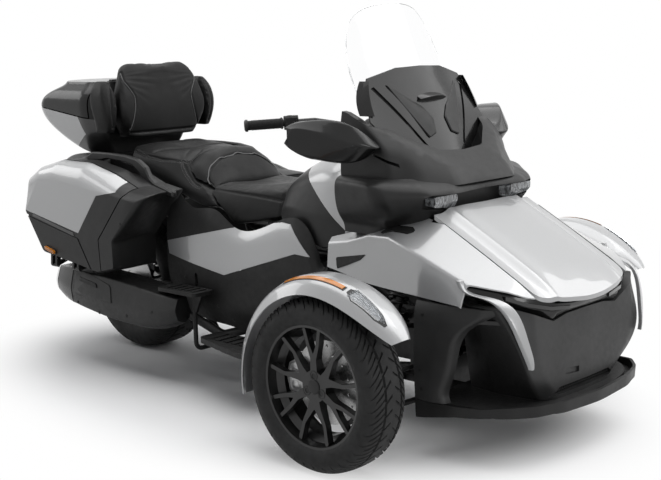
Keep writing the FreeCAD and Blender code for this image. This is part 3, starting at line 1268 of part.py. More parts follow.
def top_case():
    """Rear case: painted tub below, dark lid above that swings up about its front edge."""
    def part_line(y, lift):
        return LID_PART_Z + (y - LID_PART_Y) * LID_PART_SLOPE + lift
    body = case_body(0.0)
    shell = body.cut(case_body(CASE_WALL))
    below = prism("x", -400, 400, [(1600, 800), (1600, part_line(1600, 0)), (2300, part_line(2300, 0)), (2300, 800)])
    above = prism("x", -400, 400, [(LID_FRONT, 1250), (LID_FRONT, part_line(LID_FRONT, PANEL_GAP)),
                                   (2300, part_line(2300, PANEL_GAP)), (2300, 1250)])
    front = prism("x", -400, 400, [(1600, 1250), (1600, part_line(1600, SEAT_GAP)),
                                   (LID_FRONT - PANEL_GAP, part_line(LID_FRONT - PANEL_GAP, SEAT_GAP)),
                                   (LID_FRONT - PANEL_GAP, 1250)])
    save("top_case_tub", shell.common(below))
    arms, ears = [], []
    for x in (-LID_HINGE_X, LID_HINGE_X):
        reach = rod((x - 15, LID_FRONT, LID_HINGE_Z), (x + 15, LID_FRONT, LID_HINGE_Z), PIN_R + 3)
        root = box(x - 15, x + 15, LID_FRONT - 22, LID_FRONT, LID_HINGE_Z - 8, LID_HINGE_Z - 1)
        arms.append(fused([reach, root]).cut(rod((x - 20, LID_FRONT, LID_HINGE_Z), (x + 20, LID_FRONT, LID_HINGE_Z),
                                                 PIN_R + PIN_PLAY)))
        for low in (x - 27, x + 17):
            ears.append(fused([rod((low, LID_FRONT, LID_HINGE_Z), (low + 10, LID_FRONT, LID_HINGE_Z), PIN_R + 3),
                               box(low, low + 10, LID_FRONT, LID_FRONT + 20, LID_HINGE_Z - 9, LID_HINGE_Z)]))
        ears.append(rod((x - 27, LID_FRONT, LID_HINGE_Z), (x + 27, LID_FRONT, LID_HINGE_Z), PIN_R))
    clear = fused([rod((x - 29, LID_FRONT, LID_HINGE_Z), (x + 29, LID_FRONT, LID_HINGE_Z), PIN_R + 4)
                   for x in (-LID_HINGE_X, LID_HINGE_X)])
    save("top_case_lid", fused([shell.common(above).cut(clear)] + ears))
    pad = loft("z", [
        (936, symmetric([(0, 1560), (150, 1566), (190, 1600), (186, 1660), (0, 1672)]), 26.0),
        (1000, symmetric([(0, 1556), (160, 1558), (216, 1560), (224, 1660), (0, 1676)]), 26.0),
        (1080, symmetric([(0, 1562), (160, 1558), (236, 1556), (240, 1660), (0, 1680)]), 26.0),
        (1170, symmetric([(0, 1578), (150, 1576), (216, 1580), (210, 1664), (0, 1684)]), 26.0),
        (1240, symmetric([(0, 1600), (130, 1600), (180, 1612), (176, 1664), (0, 1680)]), 26.0),
        (1258, symmetric([(0, 1612), (110, 1612), (150, 1620), (140, 1656), (0, 1668)]), 20.0),
    ])
    rests = []
    for side in (1, -1):
        rests.append(loft("z", [
            (962, [(side * 244, 1590), (side * 286, 1600), (side * 290, 1680), (side * 248, 1680)], 14.0),
            (1060, [(side * 244, 1560), (side * 306, 1580), (side * 306, 1686), (side * 246, 1686)], 14.0),
            (1150, [(side * 244, 1580), (side * 300, 1604), (side * 300, 1686), (side * 246, 1686)], 14.0),
            (1184, [(side * 244, 1610), (side * 276, 1620), (side * 280, 1680), (side * 246, 1680)], 14.0),
        ]))
    save("backrest", pad, *rests)
    return fused([shell.common(front).cut(clear)] + arms)


def tail_skin(inset):
    """Form of the rear body between the side cases, or that form moved inward."""
    def half(top, side, wide, low):
        return symmetric([(0, top - inset), (wide * 0.8 - inset, top - inset), (wide - inset, side),
                          (wide * 0.92 - inset, low), (0, low)])
    return loft("y", [
        (1560 - inset, half(840, 790, 208, 730), 14.0),
        (1760 - inset, half(862, 800, 246, 700), 14.0),
        (1980 - inset, half(850, 780, 236, 680), 14.0),
        (2076 - inset, half(822, 770, 200, 690), 14.0),
    ])


def tail(bulkhead):
    """Rear body between the cases: hollow tail, foot of the top case, mudguard and plate holder."""
    shell = tail_skin(0.0).cut(tail_skin(TAIL_WALL)).cut(box(-190, 190, 1500, 1590, 600, 820))
    foot = box(-150, 150, 1720, 1880, 856, 870 - SEAT_GAP)
    save("rear_carrier", fused([shell, foot]), bulkhead)
    guard = panel(("polar", WHEELBASE, REAR_TYRE_R), [
        (92.0, across([(0, 336), (90, 330), (124, 300)])),
        (124.0, across([(0, 338), (90, 332), (124, 300)])),
        (160.0, across([(0, 344), (90, 338), (124, 304)])),
        (184.0, across([(0, 360), (90, 354), (120, 320)])),
    ], -SKIN, 20.0)
    plate_y = TAIL - 6
    holder = box(-95, 95, plate_y, TAIL, 420, 540)
    arm = box(-50, 50, 2020, plate_y + 1, 446, 462)
    strut = box(-40, 40, 2040, 2062, 446, 720).cut(tail_skin(-SEAT_GAP))
    for x in (-PLATE_HOLES_X / 2, PLATE_HOLES_X / 2):
        for z in (480 - PLATE_HOLES_Z / 2, 480 + PLATE_HOLES_Z / 2):
            holder = holder.cut(rod((x, plate_y - 10, z), (x, TAIL + 10, z), PLATE_HOLE_R))
    save("mudguard", fused([guard, arm, strut, holder]))
    lamp = prism("y", 2076 + SEAT_GAP, 2096, [(60, 704), (176, 730), (172, 790), (60, 800)], 10.0)
    save("tail_lamps", lamp, mirrored(lamp))


# Handlebar

def handlebar():
    """Bar, risers and steering stem on the raked steering axis."""
    top, down = column()
    stem = Part.makeCylinder(STEM_R, STEM_LENGTH, top, down)
    clamp = loft("y", [
        (COLUMN_Y - 30, symmetric([(0, COLUMN_Z - 22), (56, COLUMN_Z - 18), (56, COLUMN_Z + 8), (0, COLUMN_Z + 12)]),
         8.0),
        (COLUMN_Y + 34, symmetric([(0, COLUMN_Z - 10), (56, COLUMN_Z - 6), (56, COLUMN_Z + 16), (0, COLUMN_Z + 18)]),
         8.0),
    ])
    bars, holds = [], []
    for side in (1, -1):
        path = [(side * 30, 372, 992), (side * 80, 388, 1024), (side * 210, 480, 1052), (side * 396, 632, 1042)]
        bars.append(tube(path, BAR_R, 30))
        start, end = V(*path[-2]), V(*path[-1])
        line = (end - start).normalize()
        hold = end - line * (GRIP_LENGTH + 2)
        shell = Part.makeCylinder(GRIP_R, GRIP_LENGTH, hold, line)
        holds.append(shell.cut(Part.makeCylinder(BAR_R + 0.3, GRIP_LENGTH + 4, hold - line * 2, line)))
        bars.append(Part.makeCylinder(GRIP_R - 1, 12, end - line, line))
        pod = Part.makeCylinder(25, 50, hold - line * 54, line)
        holds.append(pod.cut(Part.makeCylinder(BAR_R + 0.3, 80, hold - line * 70, line)))
    save("handlebar", fused([stem, clamp] + bars))
    save("hand_controls", *holds)


def main():
    os.makedirs(OUT, exist_ok=True)
    for label, side in (("left", 1), ("right", -1)):
        _, back = front_wheel(label, side)
        knuckle(label, side, back)
        fender(label, side)
    save("pannier_tubs", pannier("left", 1), pannier("right", -1))
    rear_wheel()
    suspension()
    steering_rack()
    chassis()
    swingarm()
    hood()
    trunk_tub()
    front_sides()
    fascia()
    splitter()
    lamp_band()
    cowl()
    visor()
    screen()
    mirrors()
    dash()
    tank()
    seats()
    grab_rails()
    side_panels()
    floorboards()
    exhaust()
    tail(top_case())
    handlebar()


main()
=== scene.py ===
"""Looks of the motorized trike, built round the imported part."""

from math import cos, pi, radians, sin

import bmesh
import bpy
from mathutils import Matrix, Vector
from mathutils.bvhtree import BVHTree
from mathutils.kdtree import KDTree


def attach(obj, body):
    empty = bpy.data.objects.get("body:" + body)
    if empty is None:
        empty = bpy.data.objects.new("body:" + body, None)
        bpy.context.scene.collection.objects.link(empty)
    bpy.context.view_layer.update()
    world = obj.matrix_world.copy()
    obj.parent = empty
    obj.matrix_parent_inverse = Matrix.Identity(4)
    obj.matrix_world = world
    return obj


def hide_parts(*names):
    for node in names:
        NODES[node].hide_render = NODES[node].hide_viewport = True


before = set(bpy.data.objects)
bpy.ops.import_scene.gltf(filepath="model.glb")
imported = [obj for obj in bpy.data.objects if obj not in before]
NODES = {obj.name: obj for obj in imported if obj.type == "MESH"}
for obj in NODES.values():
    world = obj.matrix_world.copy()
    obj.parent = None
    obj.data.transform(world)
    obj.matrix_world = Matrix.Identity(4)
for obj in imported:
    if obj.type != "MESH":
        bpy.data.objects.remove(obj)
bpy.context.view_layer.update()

MIDDLE = 0.8445
FRONT_X, FRONT_Y, FRONT_R, FRONT_W = 0.690, -0.8445, 0.281, 0.165
REAR_Y, REAR_R, REAR_W = 0.8695, 0.303, 0.225
RIM_R = 0.1905
WHEEL_BOLT_RING = 0.036
GRIP_R, GRIP_LENGTH = 17, 125
HEAD = ((-1, 1.35), (0.6, 1.35), (0.7, 1), (1.76, 0.96), (2.2, 0.8), (2.2, 0.5), (0.77, 0.42))
SEAM_STEP = 0.004
STITCH_PITCH, STITCH_LENGTH, THREAD_R = 0.0062, 0.0042, 0.0007
WELD_DISTANCE = 0.00002
SMOOTH_BELOW = radians(32)
SIDES = (("left", 1), ("right", -1))

# Where rays start outside the trike, in the source's millimetres
BESIDE, AHEAD, BEHIND, ABOVE = 900, -600, 2300, 1000

# Cover of a cushion while it is blown up
CLOTH = {"quality": 4, "mass": 0.3, "tension_stiffness": 12, "compression_stiffness": 8,
         "shear_stiffness": 4, "bending_stiffness": 0.4, "use_pressure": True,
         "uniform_pressure_force": 4.0, "vertex_group_mass": "held"}
CLOTH_FRAMES = 20

CAMERA_PLACE = (-3.42283, -3.43603, 1.37620)
CAMERA_TURNS = ((-46.9, "Z"), (90 - 9.659, "X"), (-1.215, "Z"))
CAMERA_LENS, CAMERA_SENSOR = 67.746, 36.0

FLOOR_FADE = (0.66, 1.04)
FLOOR_REACH = (1.05, 1.65)
FLOOR_BOUNCE, FLOOR_SEEN = 0.32, 0.97
SKY_LIGHT, SKY_COLOUR = 0.17, (0.93, 0.95, 1.0, 1)
LAMPS = (  # name, place, target, sides, power
    ("top", (0.3, 0.0, 4.8), (0.1, 0.0, 0.5), (7.0, 5.5), 235),
    ("key", (3.0, -3.8, 4.2), (0.1, -0.6, 0.5), (5.4, 4.6), 165),
    ("back", (-1.8, 4.4, 3.0), (0, 0.6, 0.7), (2.6, 1.8), 34),
    ("front", (-1.6, -5.2, 1.1), (-0.3, -1.0, 0.4), (1.8, 0.9), 42),
)


def at(x, y, z):
    """A point given in the part's source, in millimetres."""
    return Vector((x / 1000, y / 1000 - MIDDLE, z / 1000))


def on_side(side, points):
    """Points of the source, mirrored to the side wanted."""
    return [at(side * x, y, z) for x, y, z in points]


def direction(turn, first, second):
    """A direction turned from one axis (0 to 2) to another."""
    made = Vector((0, 0, 0))
    made[first], made[second] = cos(turn), sin(turn)
    return made


def linked(name, data):
    """A new object in the scene."""
    made = bpy.data.objects.new(name, data)
    bpy.context.scene.collection.objects.link(made)
    return made


def make_camera():
    camera = linked("camera", bpy.data.cameras.new("camera"))
    turn = Matrix.Translation(CAMERA_PLACE)
    for degrees, axis in CAMERA_TURNS:
        turn = turn @ Matrix.Rotation(radians(degrees), 4, axis)
    camera.matrix_world = turn
    camera.data.lens, camera.data.sensor_width = CAMERA_LENS, CAMERA_SENSOR
    camera.data.clip_start, camera.data.clip_end = 0.05, 100
    bpy.context.scene.camera = camera


# Materials

def add_node(tree, kind, *first, **named):
    """A node with its settings, and links or constants on its first and named inputs."""
    made = tree.nodes.new(kind if "Node" in kind else f"ShaderNode{kind}")
    inputs = list(enumerate(first))
    for key, value in named.items():
        if hasattr(made, key):
            setattr(made, key, value)
        else:
            inputs.append((key.replace("_", " "), value))
    for key, value in inputs:
        if isinstance(value, bpy.types.NodeSocket):
            tree.links.new(value, made.inputs[key])
        else:
            made.inputs[key].default_value = value
    return made


def colour(value):
    """A grey from a number, or a given colour, with its alpha."""
    return (*value, 1) if isinstance(value, tuple) else (value, value, value, 1)


class Surface:
    """A node material. Tone and rough are two ends and what texture() takes, and each bump
    is its height, its strength and what texture() takes."""

    def __init__(self, name, tone, rough, *bumps, shine=0.5, coat=(0.0, 0.03), edges=(0.3, 0.7),
                 **settings):
        self.material = bpy.data.materials.new(name)
        self.material.use_nodes = True
        self.tree = self.material.node_tree
        self.shader = self.tree.nodes["Principled BSDF"]
        self.place = self.node("TexCoord").outputs["Object"]
        settings.update(Specular_IOR_Level=shine, Coat_Weight=coat[0], Coat_Roughness=coat[1])
        for key, value in settings.items():
            self.shader.inputs[key.replace("_", " ")].default_value = value
        ramp = self.node("ValToRGB", self.texture(*tone[2:]))
        for element, place, value in zip(ramp.color_ramp.elements, edges, tone):
            element.position, element.color = place, colour(value)
        self.tone = ramp.outputs["Color"]
        self.drive("Base Color", self.tone)
        if rough:
            low, high, *texture = rough
            self.drive("Roughness", self.span(self.texture(*texture), low, high, 0.3, 0.7))
        under = {}
        for height, strength, *texture in bumps:
            bump = self.node("Bump", Strength=strength, Distance=height,
                             Height=self.texture(*texture), **under)
            under = {"Normal": bump.outputs["Normal"]}
            self.drive("Normal", bump.outputs["Normal"])

    def node(self, kind, *first, **named):
        return add_node(self.tree, kind, *first, **named)

    def drive(self, name, output):
        self.tree.links.new(output, self.shader.inputs[name])

    def texture(self, scale, kind, stretch=None):
        """Cells where the kind names their feature, else noise with that much detail."""
        place = self.place
        if stretch:
            place = self.node("Mapping", place, Scale=stretch).outputs["Vector"]
        if isinstance(kind, str):
            made = self.node("TexVoronoi", Vector=place, Scale=scale, feature=kind)
            return made.outputs["Distance"]
        made = self.node("TexNoise", Vector=place, Scale=scale, Detail=kind)
        return made.outputs["Fac"]

    def span(self, factor, low, high, start=0.0, end=1.0):
        return self.node("MapRange", factor, From_Min=start, From_Max=end,
                         To_Min=low, To_Max=high).outputs["Result"]

    def beyond(self, along, level):
        """1 where a point's reach along a direction is over a level, else 0."""
        reach = self.node("VectorMath", self.place, along, operation="DOT_PRODUCT")
        return self.node("Math", reach.outputs["Value"], level, operation="GREATER_THAN").outputs[0]

    def elsewhere(self, mask, value, **settings):
        """Another colour and other settings where the mask is 0."""
        mix = self.node("Mix", data_type="RGBA", Factor=mask, A=colour(value), B=self.tone)
        self.drive("Base Color", mix.outputs["Result"])
        for key, other in settings.items():
            key = key.replace("_", " ")
            self.drive(key, self.span(mask, other, self.shader.inputs[key].default_value))


def plain(*look, **settings):
    return Surface(*look, **settings).material


def painted(name):
    return Surface(name, ((0.36, 0.363, 0.367), (0.42, 0.423, 0.427), 900, 2),
                   (0.30, 0.42, 1400, 2), (0.00012, 0.35, 38, 3),
                   Metallic=0.28, coat=(1.0, 0.03), Coat_IOR=1.5)


def case_material():
    """Silver on the top case's rear corners, black ahead of a slanted paint edge."""
    made = painted("silver_and_black")
    upper = made.beyond((0, 1, -0.44), 1.3501 - MIDDLE)
    lower = made.beyond((0, 1, 1.6), 3.298 - MIDDLE)
    both = made.node("Math", upper, lower, operation="MULTIPLY").outputs[0]
    made.elsewhere(both, 0.008, Metallic=0.0, Coat_Weight=0.35)
    return made.material


def rubber_material(name, dark, light):
    return plain(name, (dark, light, 16, 6), (0.58, 0.76, 60, 5), (0.00025, 0.5, 260, 5),
                 (0.00008, 0.5, 1100, "F1"), shine=0.20)


def glass_material(name, value, rough, bend=1.45):
    pale = tuple(min(1.0, c * 1.02) for c in value)
    return plain(name, (value, pale, 3, 2), (rough, rough + 0.02, 40, 3),
                 Transmission_Weight=1.0, IOR=bend, shine=0.5)


def lens_material(name, value, ridges, clear=0.2):
    pale = tuple(min(1.0, c * 1.15 + 0.01) for c in value)
    return plain(name, (value, pale, 25, 3), (0.06, 0.14, 60, 3), (0.0004, 0.5, ridges, "F1"),
                 Transmission_Weight=clear, IOR=1.49, coat=(0.2, 0.03))


def front_lens_material():
    """Clear lens over the mouth lamps, smoked lens for the light strips under the hood."""
    made = Surface("front_lens", ((0.16, 0.165, 0.17), (0.62, 0.64, 0.66), 60, 2, (6, 1, 1)),
                   (0.06, 0.14, 60, 3), (0.0008, 0.7, 190, 2, (1.0, 0.1, 0.1)),
                   edges=(0.42, 0.58), Transmission_Weight=0.45, IOR=1.49, coat=(0.5, 0.03))
    made.elsewhere(made.beyond((0, 0, 1), 0.70), 0.012, Transmission_Weight=0.0)
    return made.material


PAINT = painted("silver_paint").material
CASE = case_material()
GLOSS = plain("gloss_black", (0.005, 0.009, 14, 4), (0.16, 0.26, 30, 5), (0.0001, 0.3, 60, 3),
              shine=0.22, coat=(0.2, 0.05))
SATIN = plain("satin_black", (0.011, 0.017, 11, 5), (0.34, 0.46, 40, 5),
              (0.00006, 0.5, 1300, 2), shine=0.24)
GRAINED = plain("grained_plastic", (0.009, 0.015, 9, 5), (0.46, 0.62, 50, 4),
                (0.00012, 0.7, 1500, "F1"), shine=0.22)
NOSE = plain("nose_plastic", (0.024, 0.036, 9, 5), (0.40, 0.52, 50, 4),
             (0.0001, 0.6, 1500, "F1"), shine=0.30)
RAIL = plain("grey_rail", (0.085, 0.115, 14, 4), (0.36, 0.50, 60, 4), shine=0.35)
STEEL = plain("black_steel", (0.009, 0.018, 18, 5), (0.36, 0.52, 70, 5),
              (0.00008, 0.6, 500, 3), shine=0.30)
CAST = plain("cast_metal", (0.17, 0.30, 25, 6), (0.42, 0.62, 90, 6), (0.00025, 0.8, 420, 4),
             Metallic=0.9)
RIM = plain("rim_black", (0.006, 0.011, 20, 4), (0.28, 0.40, 80, 4), (0.00005, 0.5, 700, 3),
            shine=0.32, coat=(0.25, 0.15))
DISC = plain("disc_steel", (0.32, 0.52, 60, 6, (1, 6, 6)), (0.24, 0.40, 160, 4, (1, 8, 8)),
             (0.00005, 0.6, 900, 3, (1, 5, 5)), Metallic=1, Anisotropic=0.5)
RUBBER = rubber_material("tyre_rubber", 0.026, 0.040)
GRIP = rubber_material("grip_rubber", 0.014, 0.024)
VINYL = plain("seat_vinyl", (0.006, 0.010, 8, 5), (0.40, 0.55, 30, 5),
              (0.00035, 0.55, 620, "DISTANCE_TO_EDGE"), (0.0006, 0.3, 36, 4), shine=0.17)
THREAD = plain("seat_thread", (0.10, 0.17, 300, 3), None, (0.0001, 0.8, 1500, 2), Roughness=0.75)
CLEAR = glass_material("clear_screen", (0.975, 0.975, 0.978), 0, 1.2)
EDGE = glass_material("screen_edge", (0.84, 0.85, 0.86), 0.05)
LENS = lens_material("clear_lens", (0.82, 0.84, 0.86), 260, 0.8)
FRONT_LENS = front_lens_material()
RED = lens_material("red_lens", (0.45, 0.012, 0.012), 300)
AMBER = lens_material("amber_lens", (0.60, 0.19, 0.001), 300, 0)
CHROME = plain("bright_metal", (0.62, 0.75, 20, 3), (0.10, 0.22, 80, 4), (0.00003, 0.4, 300, 2),
               Metallic=1)
MIRROR = plain("mirror_glass", (0.72, 0.76, 6, 2), (0.01, 0.04, 30, 3), Metallic=1)
CALIPER = plain("caliper_silver", (0.52, 0.66, 30, 4), (0.30, 0.42, 90, 4),
                (0.00008, 0.6, 500, 3), Metallic=0.5, coat=(0.4, 0.1))
DISPLAY = plain("display_glass", ((0.008, 0.010, 0.014), (0.014, 0.018, 0.024), 5, 2),
                (0.08, 0.16, 50, 3), coat=(1, 0.02))
MARKS = plain("display_marks", ((0.55, 0.62, 0.70), (0.70, 0.76, 0.82), 60, 2), None, Roughness=0.5)

NODE_MATERIALS = {
    PAINT: "front_sides hood fender_left fender_right tank_cover side_inserts "
           "pannier_panel_left pannier_panel_right",
    CASE: "top_case_tub",
    GLOSS: "visor top_case_lid mirror_pods lamp_band",
    NOSE: "front_fascia",
    SATIN: "cowl knee_pads pannier_tubs pannier_lid_left pannier_lid_right rear_carrier splitter",
    GRAINED: "dash floorboards mudguard side_panels trunk_tub",
    STEEL: "frame wishbones swingarm grab_rails handlebar tie_rods shock_absorbers belt_pulley "
           "radiators exhaust",
    CAST: "knuckle_left knuckle_right engine_block",
    RIM: "rim_front_left rim_front_right rim_rear",
    DISC: "disc_front_left disc_front_right disc_rear",
    RUBBER: "tyre_front_left tyre_front_right tyre_rear",
    GRIP: "hand_controls",
    VINYL: "rider_seat passenger_seat backrest",
    CLEAR: "wind_screen",
    FRONT_LENS: "front_lamps",
    RED: "tail_lamps",
    MIRROR: "mirror_glass",
    DISPLAY: "display",
}


def smooth_group():
    """Modifier that shades smoothly and keeps sharper edges."""
    group = bpy.data.node_groups.new("smooth_shading", "GeometryNodeTree")
    for way in ("INPUT", "OUTPUT"):
        group.interface.new_socket("Geometry", in_out=way, socket_type="NodeSocketGeometry")
    start = add_node(group, "NodeGroupInput")
    merge = add_node(group, "GeometryNodeMergeByDistance", start.outputs[0], Distance=0.00001)
    angle = add_node(group, "GeometryNodeInputMeshEdgeAngle").outputs["Unsigned Angle"]
    soft = add_node(group, "FunctionNodeCompare", angle, SMOOTH_BELOW, operation="LESS_THAN")
    faces = add_node(group, "GeometryNodeSetShadeSmooth", merge.outputs[0], domain="FACE")
    edges = add_node(group, "GeometryNodeSetShadeSmooth", faces.outputs[0], domain="EDGE",
                     Shade_Smooth=soft.outputs[0])
    add_node(group, "NodeGroupOutput", edges.outputs[0])
    return group


SMOOTH = smooth_group()


def smoothed(piece):
    piece.modifiers.new("smooth", "NODES").node_group = SMOOTH
    return piece


def dress_nodes():
    for material, names in NODE_MATERIALS.items():
        for name in names.split():
            slots = smoothed(NODES[name]).data.materials
            if not slots:
                slots.append(material)
            for i in range(len(slots)):
                slots[i] = material


# Mesh helpers

def circle(middle, side, top, radius, count):
    turns = [2 * pi * k / count for k in range(count)]
    return [middle + side * (radius * cos(turn)) + top * (radius * sin(turn)) for turn in turns]


class Soup:
    """Many small closed forms for one mesh."""

    def __init__(self):
        self.points, self.faces = [], []

    def rings(self, rings, looped=False):
        """A skin through rings of equal length, closed by two caps or into a loop."""
        base, count, total = len(self.points), len(rings[0]), len(rings)
        faces = []
        for i in range(total if looped else total - 1):
            j = (i + 1) % total
            for k in range(count):
                n = (k + 1) % count
                faces.append((i * count + k, i * count + n, j * count + n, j * count + k))
        if not looped:
            faces.append(tuple(reversed(range(count))))
            faces.append(tuple((total - 1) * count + k for k in range(count)))
        self.points += [Vector(p) for ring in rings for p in ring]
        self.faces += [tuple(base + i for i in face) for face in faces]

    def pipe(self, path, radius, sides):
        """A round bar along points, with one radius or a list with one for each point."""
        path = [Vector(p) for p in path]
        reference = Vector((0.013, 0.021, 1.0)).normalized()
        rings = []
        for i, point in enumerate(path):
            ahead = (path[min(i + 1, len(path) - 1)] - path[max(i - 1, 0)]).normalized()
            if abs(ahead.dot(reference)) > 0.97:
                reference = Vector((1.0, 0.02, 0.03)).normalized()
            side = ahead.cross(reference).normalized()
            size = radius[i] if isinstance(radius, list) else radius
            rings.append(circle(point, side, side.cross(ahead), size, sides))
        self.rings(rings)

    def drum(self, centre, axis, profile, sides):
        """A turned form: profile holds (distance along the axis, radius) in millimetres."""
        axis = Vector(axis).normalized()
        side = axis.orthogonal().normalized()
        self.rings([circle(Vector(centre) + axis * (along / 1000), side, axis.cross(side),
                           radius / 1000, sides) for along, radius in profile])

    def block(self, centre, half, turn=None, edge=0.0):
        """A box with an optional bevel round its top and bottom."""
        hx, hy, hz = half
        levels = [(-hz, edge), (-hz + edge, 0.0), (hz - edge, 0.0), (hz, edge)]
        rings = []
        for z, cut in levels if edge else [(-hz, 0), (hz, 0)]:
            x, y = hx - cut, hy - cut
            ring = [Vector(p) for p in ((-x, -y, z), (x, -y, z), (x, y, z), (-x, y, z))]
            rings.append([(turn @ p if turn else p) + Vector(centre) for p in ring])
        self.rings(rings)

    def piece(self, name, material, slot, body="trike"):
        mesh = bpy.data.meshes.new(name)
        mesh.from_pydata(self.points, [], self.faces)
        mesh.validate()
        mesh.update()
        mesh.materials.append(material)
        piece = smoothed(linked(name, mesh))
        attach(piece, body)
        return piece


# Tyres

TREAD_DEPTH = 0.0072
# Half profile from the middle: share of the half width, and drop under the crown
TREAD = ((0.0, 0.0), (0.060, 0.0), (0.085, 0.0), (0.115, 0.0), (0.15, 0.0000375), (0.30, 0.0006),
         (0.37, 0.001125), (0.395, 0.0013125), (0.46, 0.0018), (0.485, 0.0022286),
         (0.56, 0.0035143), (0.66, 0.00635), (0.76, 0.0111), (0.84, 0.0172353), (0.905, 0.0245))
# The same down the sidewall, with the drop as a share of its height
WALL = ((0.965, 0.42), (0.995, 0.55), (0.985, 0.68), (0.95, 0.79), (0.90, 0.87), (0.84, 0.925))
# Columns of one pitch: place, and 0 for land, 1 for a groove and 2 for a shoulder groove
PITCH = ((0.0, 0), (0.02, 1), (0.20, 1), (0.22, 0), (0.36, 0), (0.52, 0), (0.54, 2), (0.66, 2),
         (0.68, 0), (0.86, 0))


def groove(share, kind):
    """Depth under the tread at a share of the half width, on one kind of column."""
    if 0.385 < share < 0.47:
        return TREAD_DEPTH
    if kind == 1 and 0.11 < share < 0.84:
        return TREAD_DEPTH * (0.9 if share < 0.7 else 0.7)
    if kind == 2 and 0.46 < share < 0.92:
        return TREAD_DEPTH * 0.75
    return 0.0


def make_tyre(label, node, centre, radius, width, pitches, lean):
    """Tyre with two ring grooves, slanted blocks and a plain sidewall."""
    half, wall = width / 2, radius - RIM_R
    outer = [(x * half, radius - drop, x) for x, drop in TREAD]
    outer += [(x * half, radius - wall * share, 1.0) for x, share in WALL]
    bead, seat = radius - wall * 0.955, RIM_R + 0.010
    rows = [(-x, r, share, -1) for x, r, share in reversed(outer)]
    rows += [(x, r, share, 1) for x, r, share in outer[1:]]
    rows += [(x * half, r, 1.0, 0)
             for x, r in ((0.80, bead), (0.62, seat), (-0.62, seat), (-0.80, bead))]
    rings = []
    for i in range(pitches):
        for part, kind in PITCH:
            ring = []
            for x, r, share, sign in rows:
                shift = lean * (min(share, TREAD[-1][0]) ** 1.4) / pitches
                if sign < 0:
                    shift += 0.5 / pitches
                turn = 2 * pi * ((i + part) / pitches + shift)
                r -= groove(share, kind)
                ring.append(Vector(centre) + Vector((x, -r * sin(turn), r * cos(turn))))
            rings.append(ring)
    soup = Soup()
    soup.rings(rings, looped=True)
    piece = soup.piece(f"tyre_tread_{label}", RUBBER, "tyre_rubber", f"wheel_{label}")
    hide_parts(node)


def make_tyres():
    for label, side in SIDES:
        make_tyre(label, f"tyre_front_{label}", (side * FRONT_X, FRONT_Y, FRONT_R), FRONT_R,
                  FRONT_W, 40, 1.9)
    make_tyre("rear", "tyre_rear", (0.0, REAR_Y, REAR_R), REAR_R, REAR_W, 38, 1.6)


# Skins and seams

class Skin:
    """The faces of a node or piece, for placing small parts on them."""

    def __init__(self, piece):
        mesh = (NODES[piece] if isinstance(piece, str) else piece).data
        self.tree = BVHTree.FromPolygons([v.co.copy() for v in mesh.vertices],
                                         [tuple(f.vertices) for f in mesh.polygons])

    def hit(self, start, along):
        """First place along a ray, with the normal that faces the ray's start."""
        along = Vector(along).normalized()
        place, normal, _, _ = self.tree.ray_cast(Vector(start), along)
        if place is None:
            return None
        return place, (-normal if normal.dot(along) > 0 else normal)

    def places(self, starts, along):
        """Where rays meet the skin, or None where one of them misses."""
        found = [self.hit(start, along) for start in starts]
        return None if None in found else [place for place, _ in found]

    def line(self, starts, aims):
        """A line where rays from starts to their aims, and between them, meet the skin."""
        made = []
        for a, b, c, d in zip(starts, aims, starts[1:], aims[1:]):
            count = max(2, round((c - a).length / SEAM_STEP))
            for i in range(count):
                start, aim = a.lerp(c, i / count), b.lerp(d, i / count)
                found = self.hit(start, aim - start)
                if found:
                    made.append(found)
        return relaxed(made)

    def near(self, points):
        """A line over the skin beneath given points."""
        made = []
        for a, b in zip(points, points[1:]):
            count = max(2, round((b - a).length / SEAM_STEP))
            made += [self.tree.find_nearest(a.lerp(b, i / count))[:2] for i in range(count)]
        return relaxed(made)


def relaxed(line):
    """A surface line with its small jumps evened out."""
    places = [place for place, _ in line]
    for _ in range(6):
        inner = [(a + b * 2 + c) / 4 for a, b, c in zip(places, places[1:], places[2:])]
        places = [places[0]] + inner + [places[-1]]
    return [(place, normal) for place, (_, normal) in zip(places, line)]


def shifted(line, distance):
    """A surface line moved sideways along the surface."""
    made = []
    for i, (place, normal) in enumerate(line):
        ahead = line[min(i + 1, len(line) - 1)][0] - line[max(i - 1, 0)][0]
        if ahead.length > 1e-6:
            made.append((place + ahead.cross(normal).normalized() * distance, normal))
    return made


def stitch(soup, line):
    """Short thread ends in a row along a surface line."""
    travelled, start = 0.0, None
    for (a, normal), (b, _) in zip(line, line[1:]):
        lift = normal * 0.0005
        if start is None:
            start = a + lift
        travelled += (b - a).length
        if travelled >= STITCH_PITCH:
            ahead = b - start
            if ahead.length > 1e-6:
                ahead.normalize()
                soup.pipe([start, start + ahead * STITCH_LENGTH * 0.5 + normal * 0.0004,
                           start + ahead * STITCH_LENGTH], THREAD_R, 5)
            start, travelled = b + lift, 0.0


def piping(soup, line, radius, lift):
    """A welt that follows a surface line."""
    soup.pipe([place + normal * lift for place, normal in line[::2]], radius, 8)


# Cushions

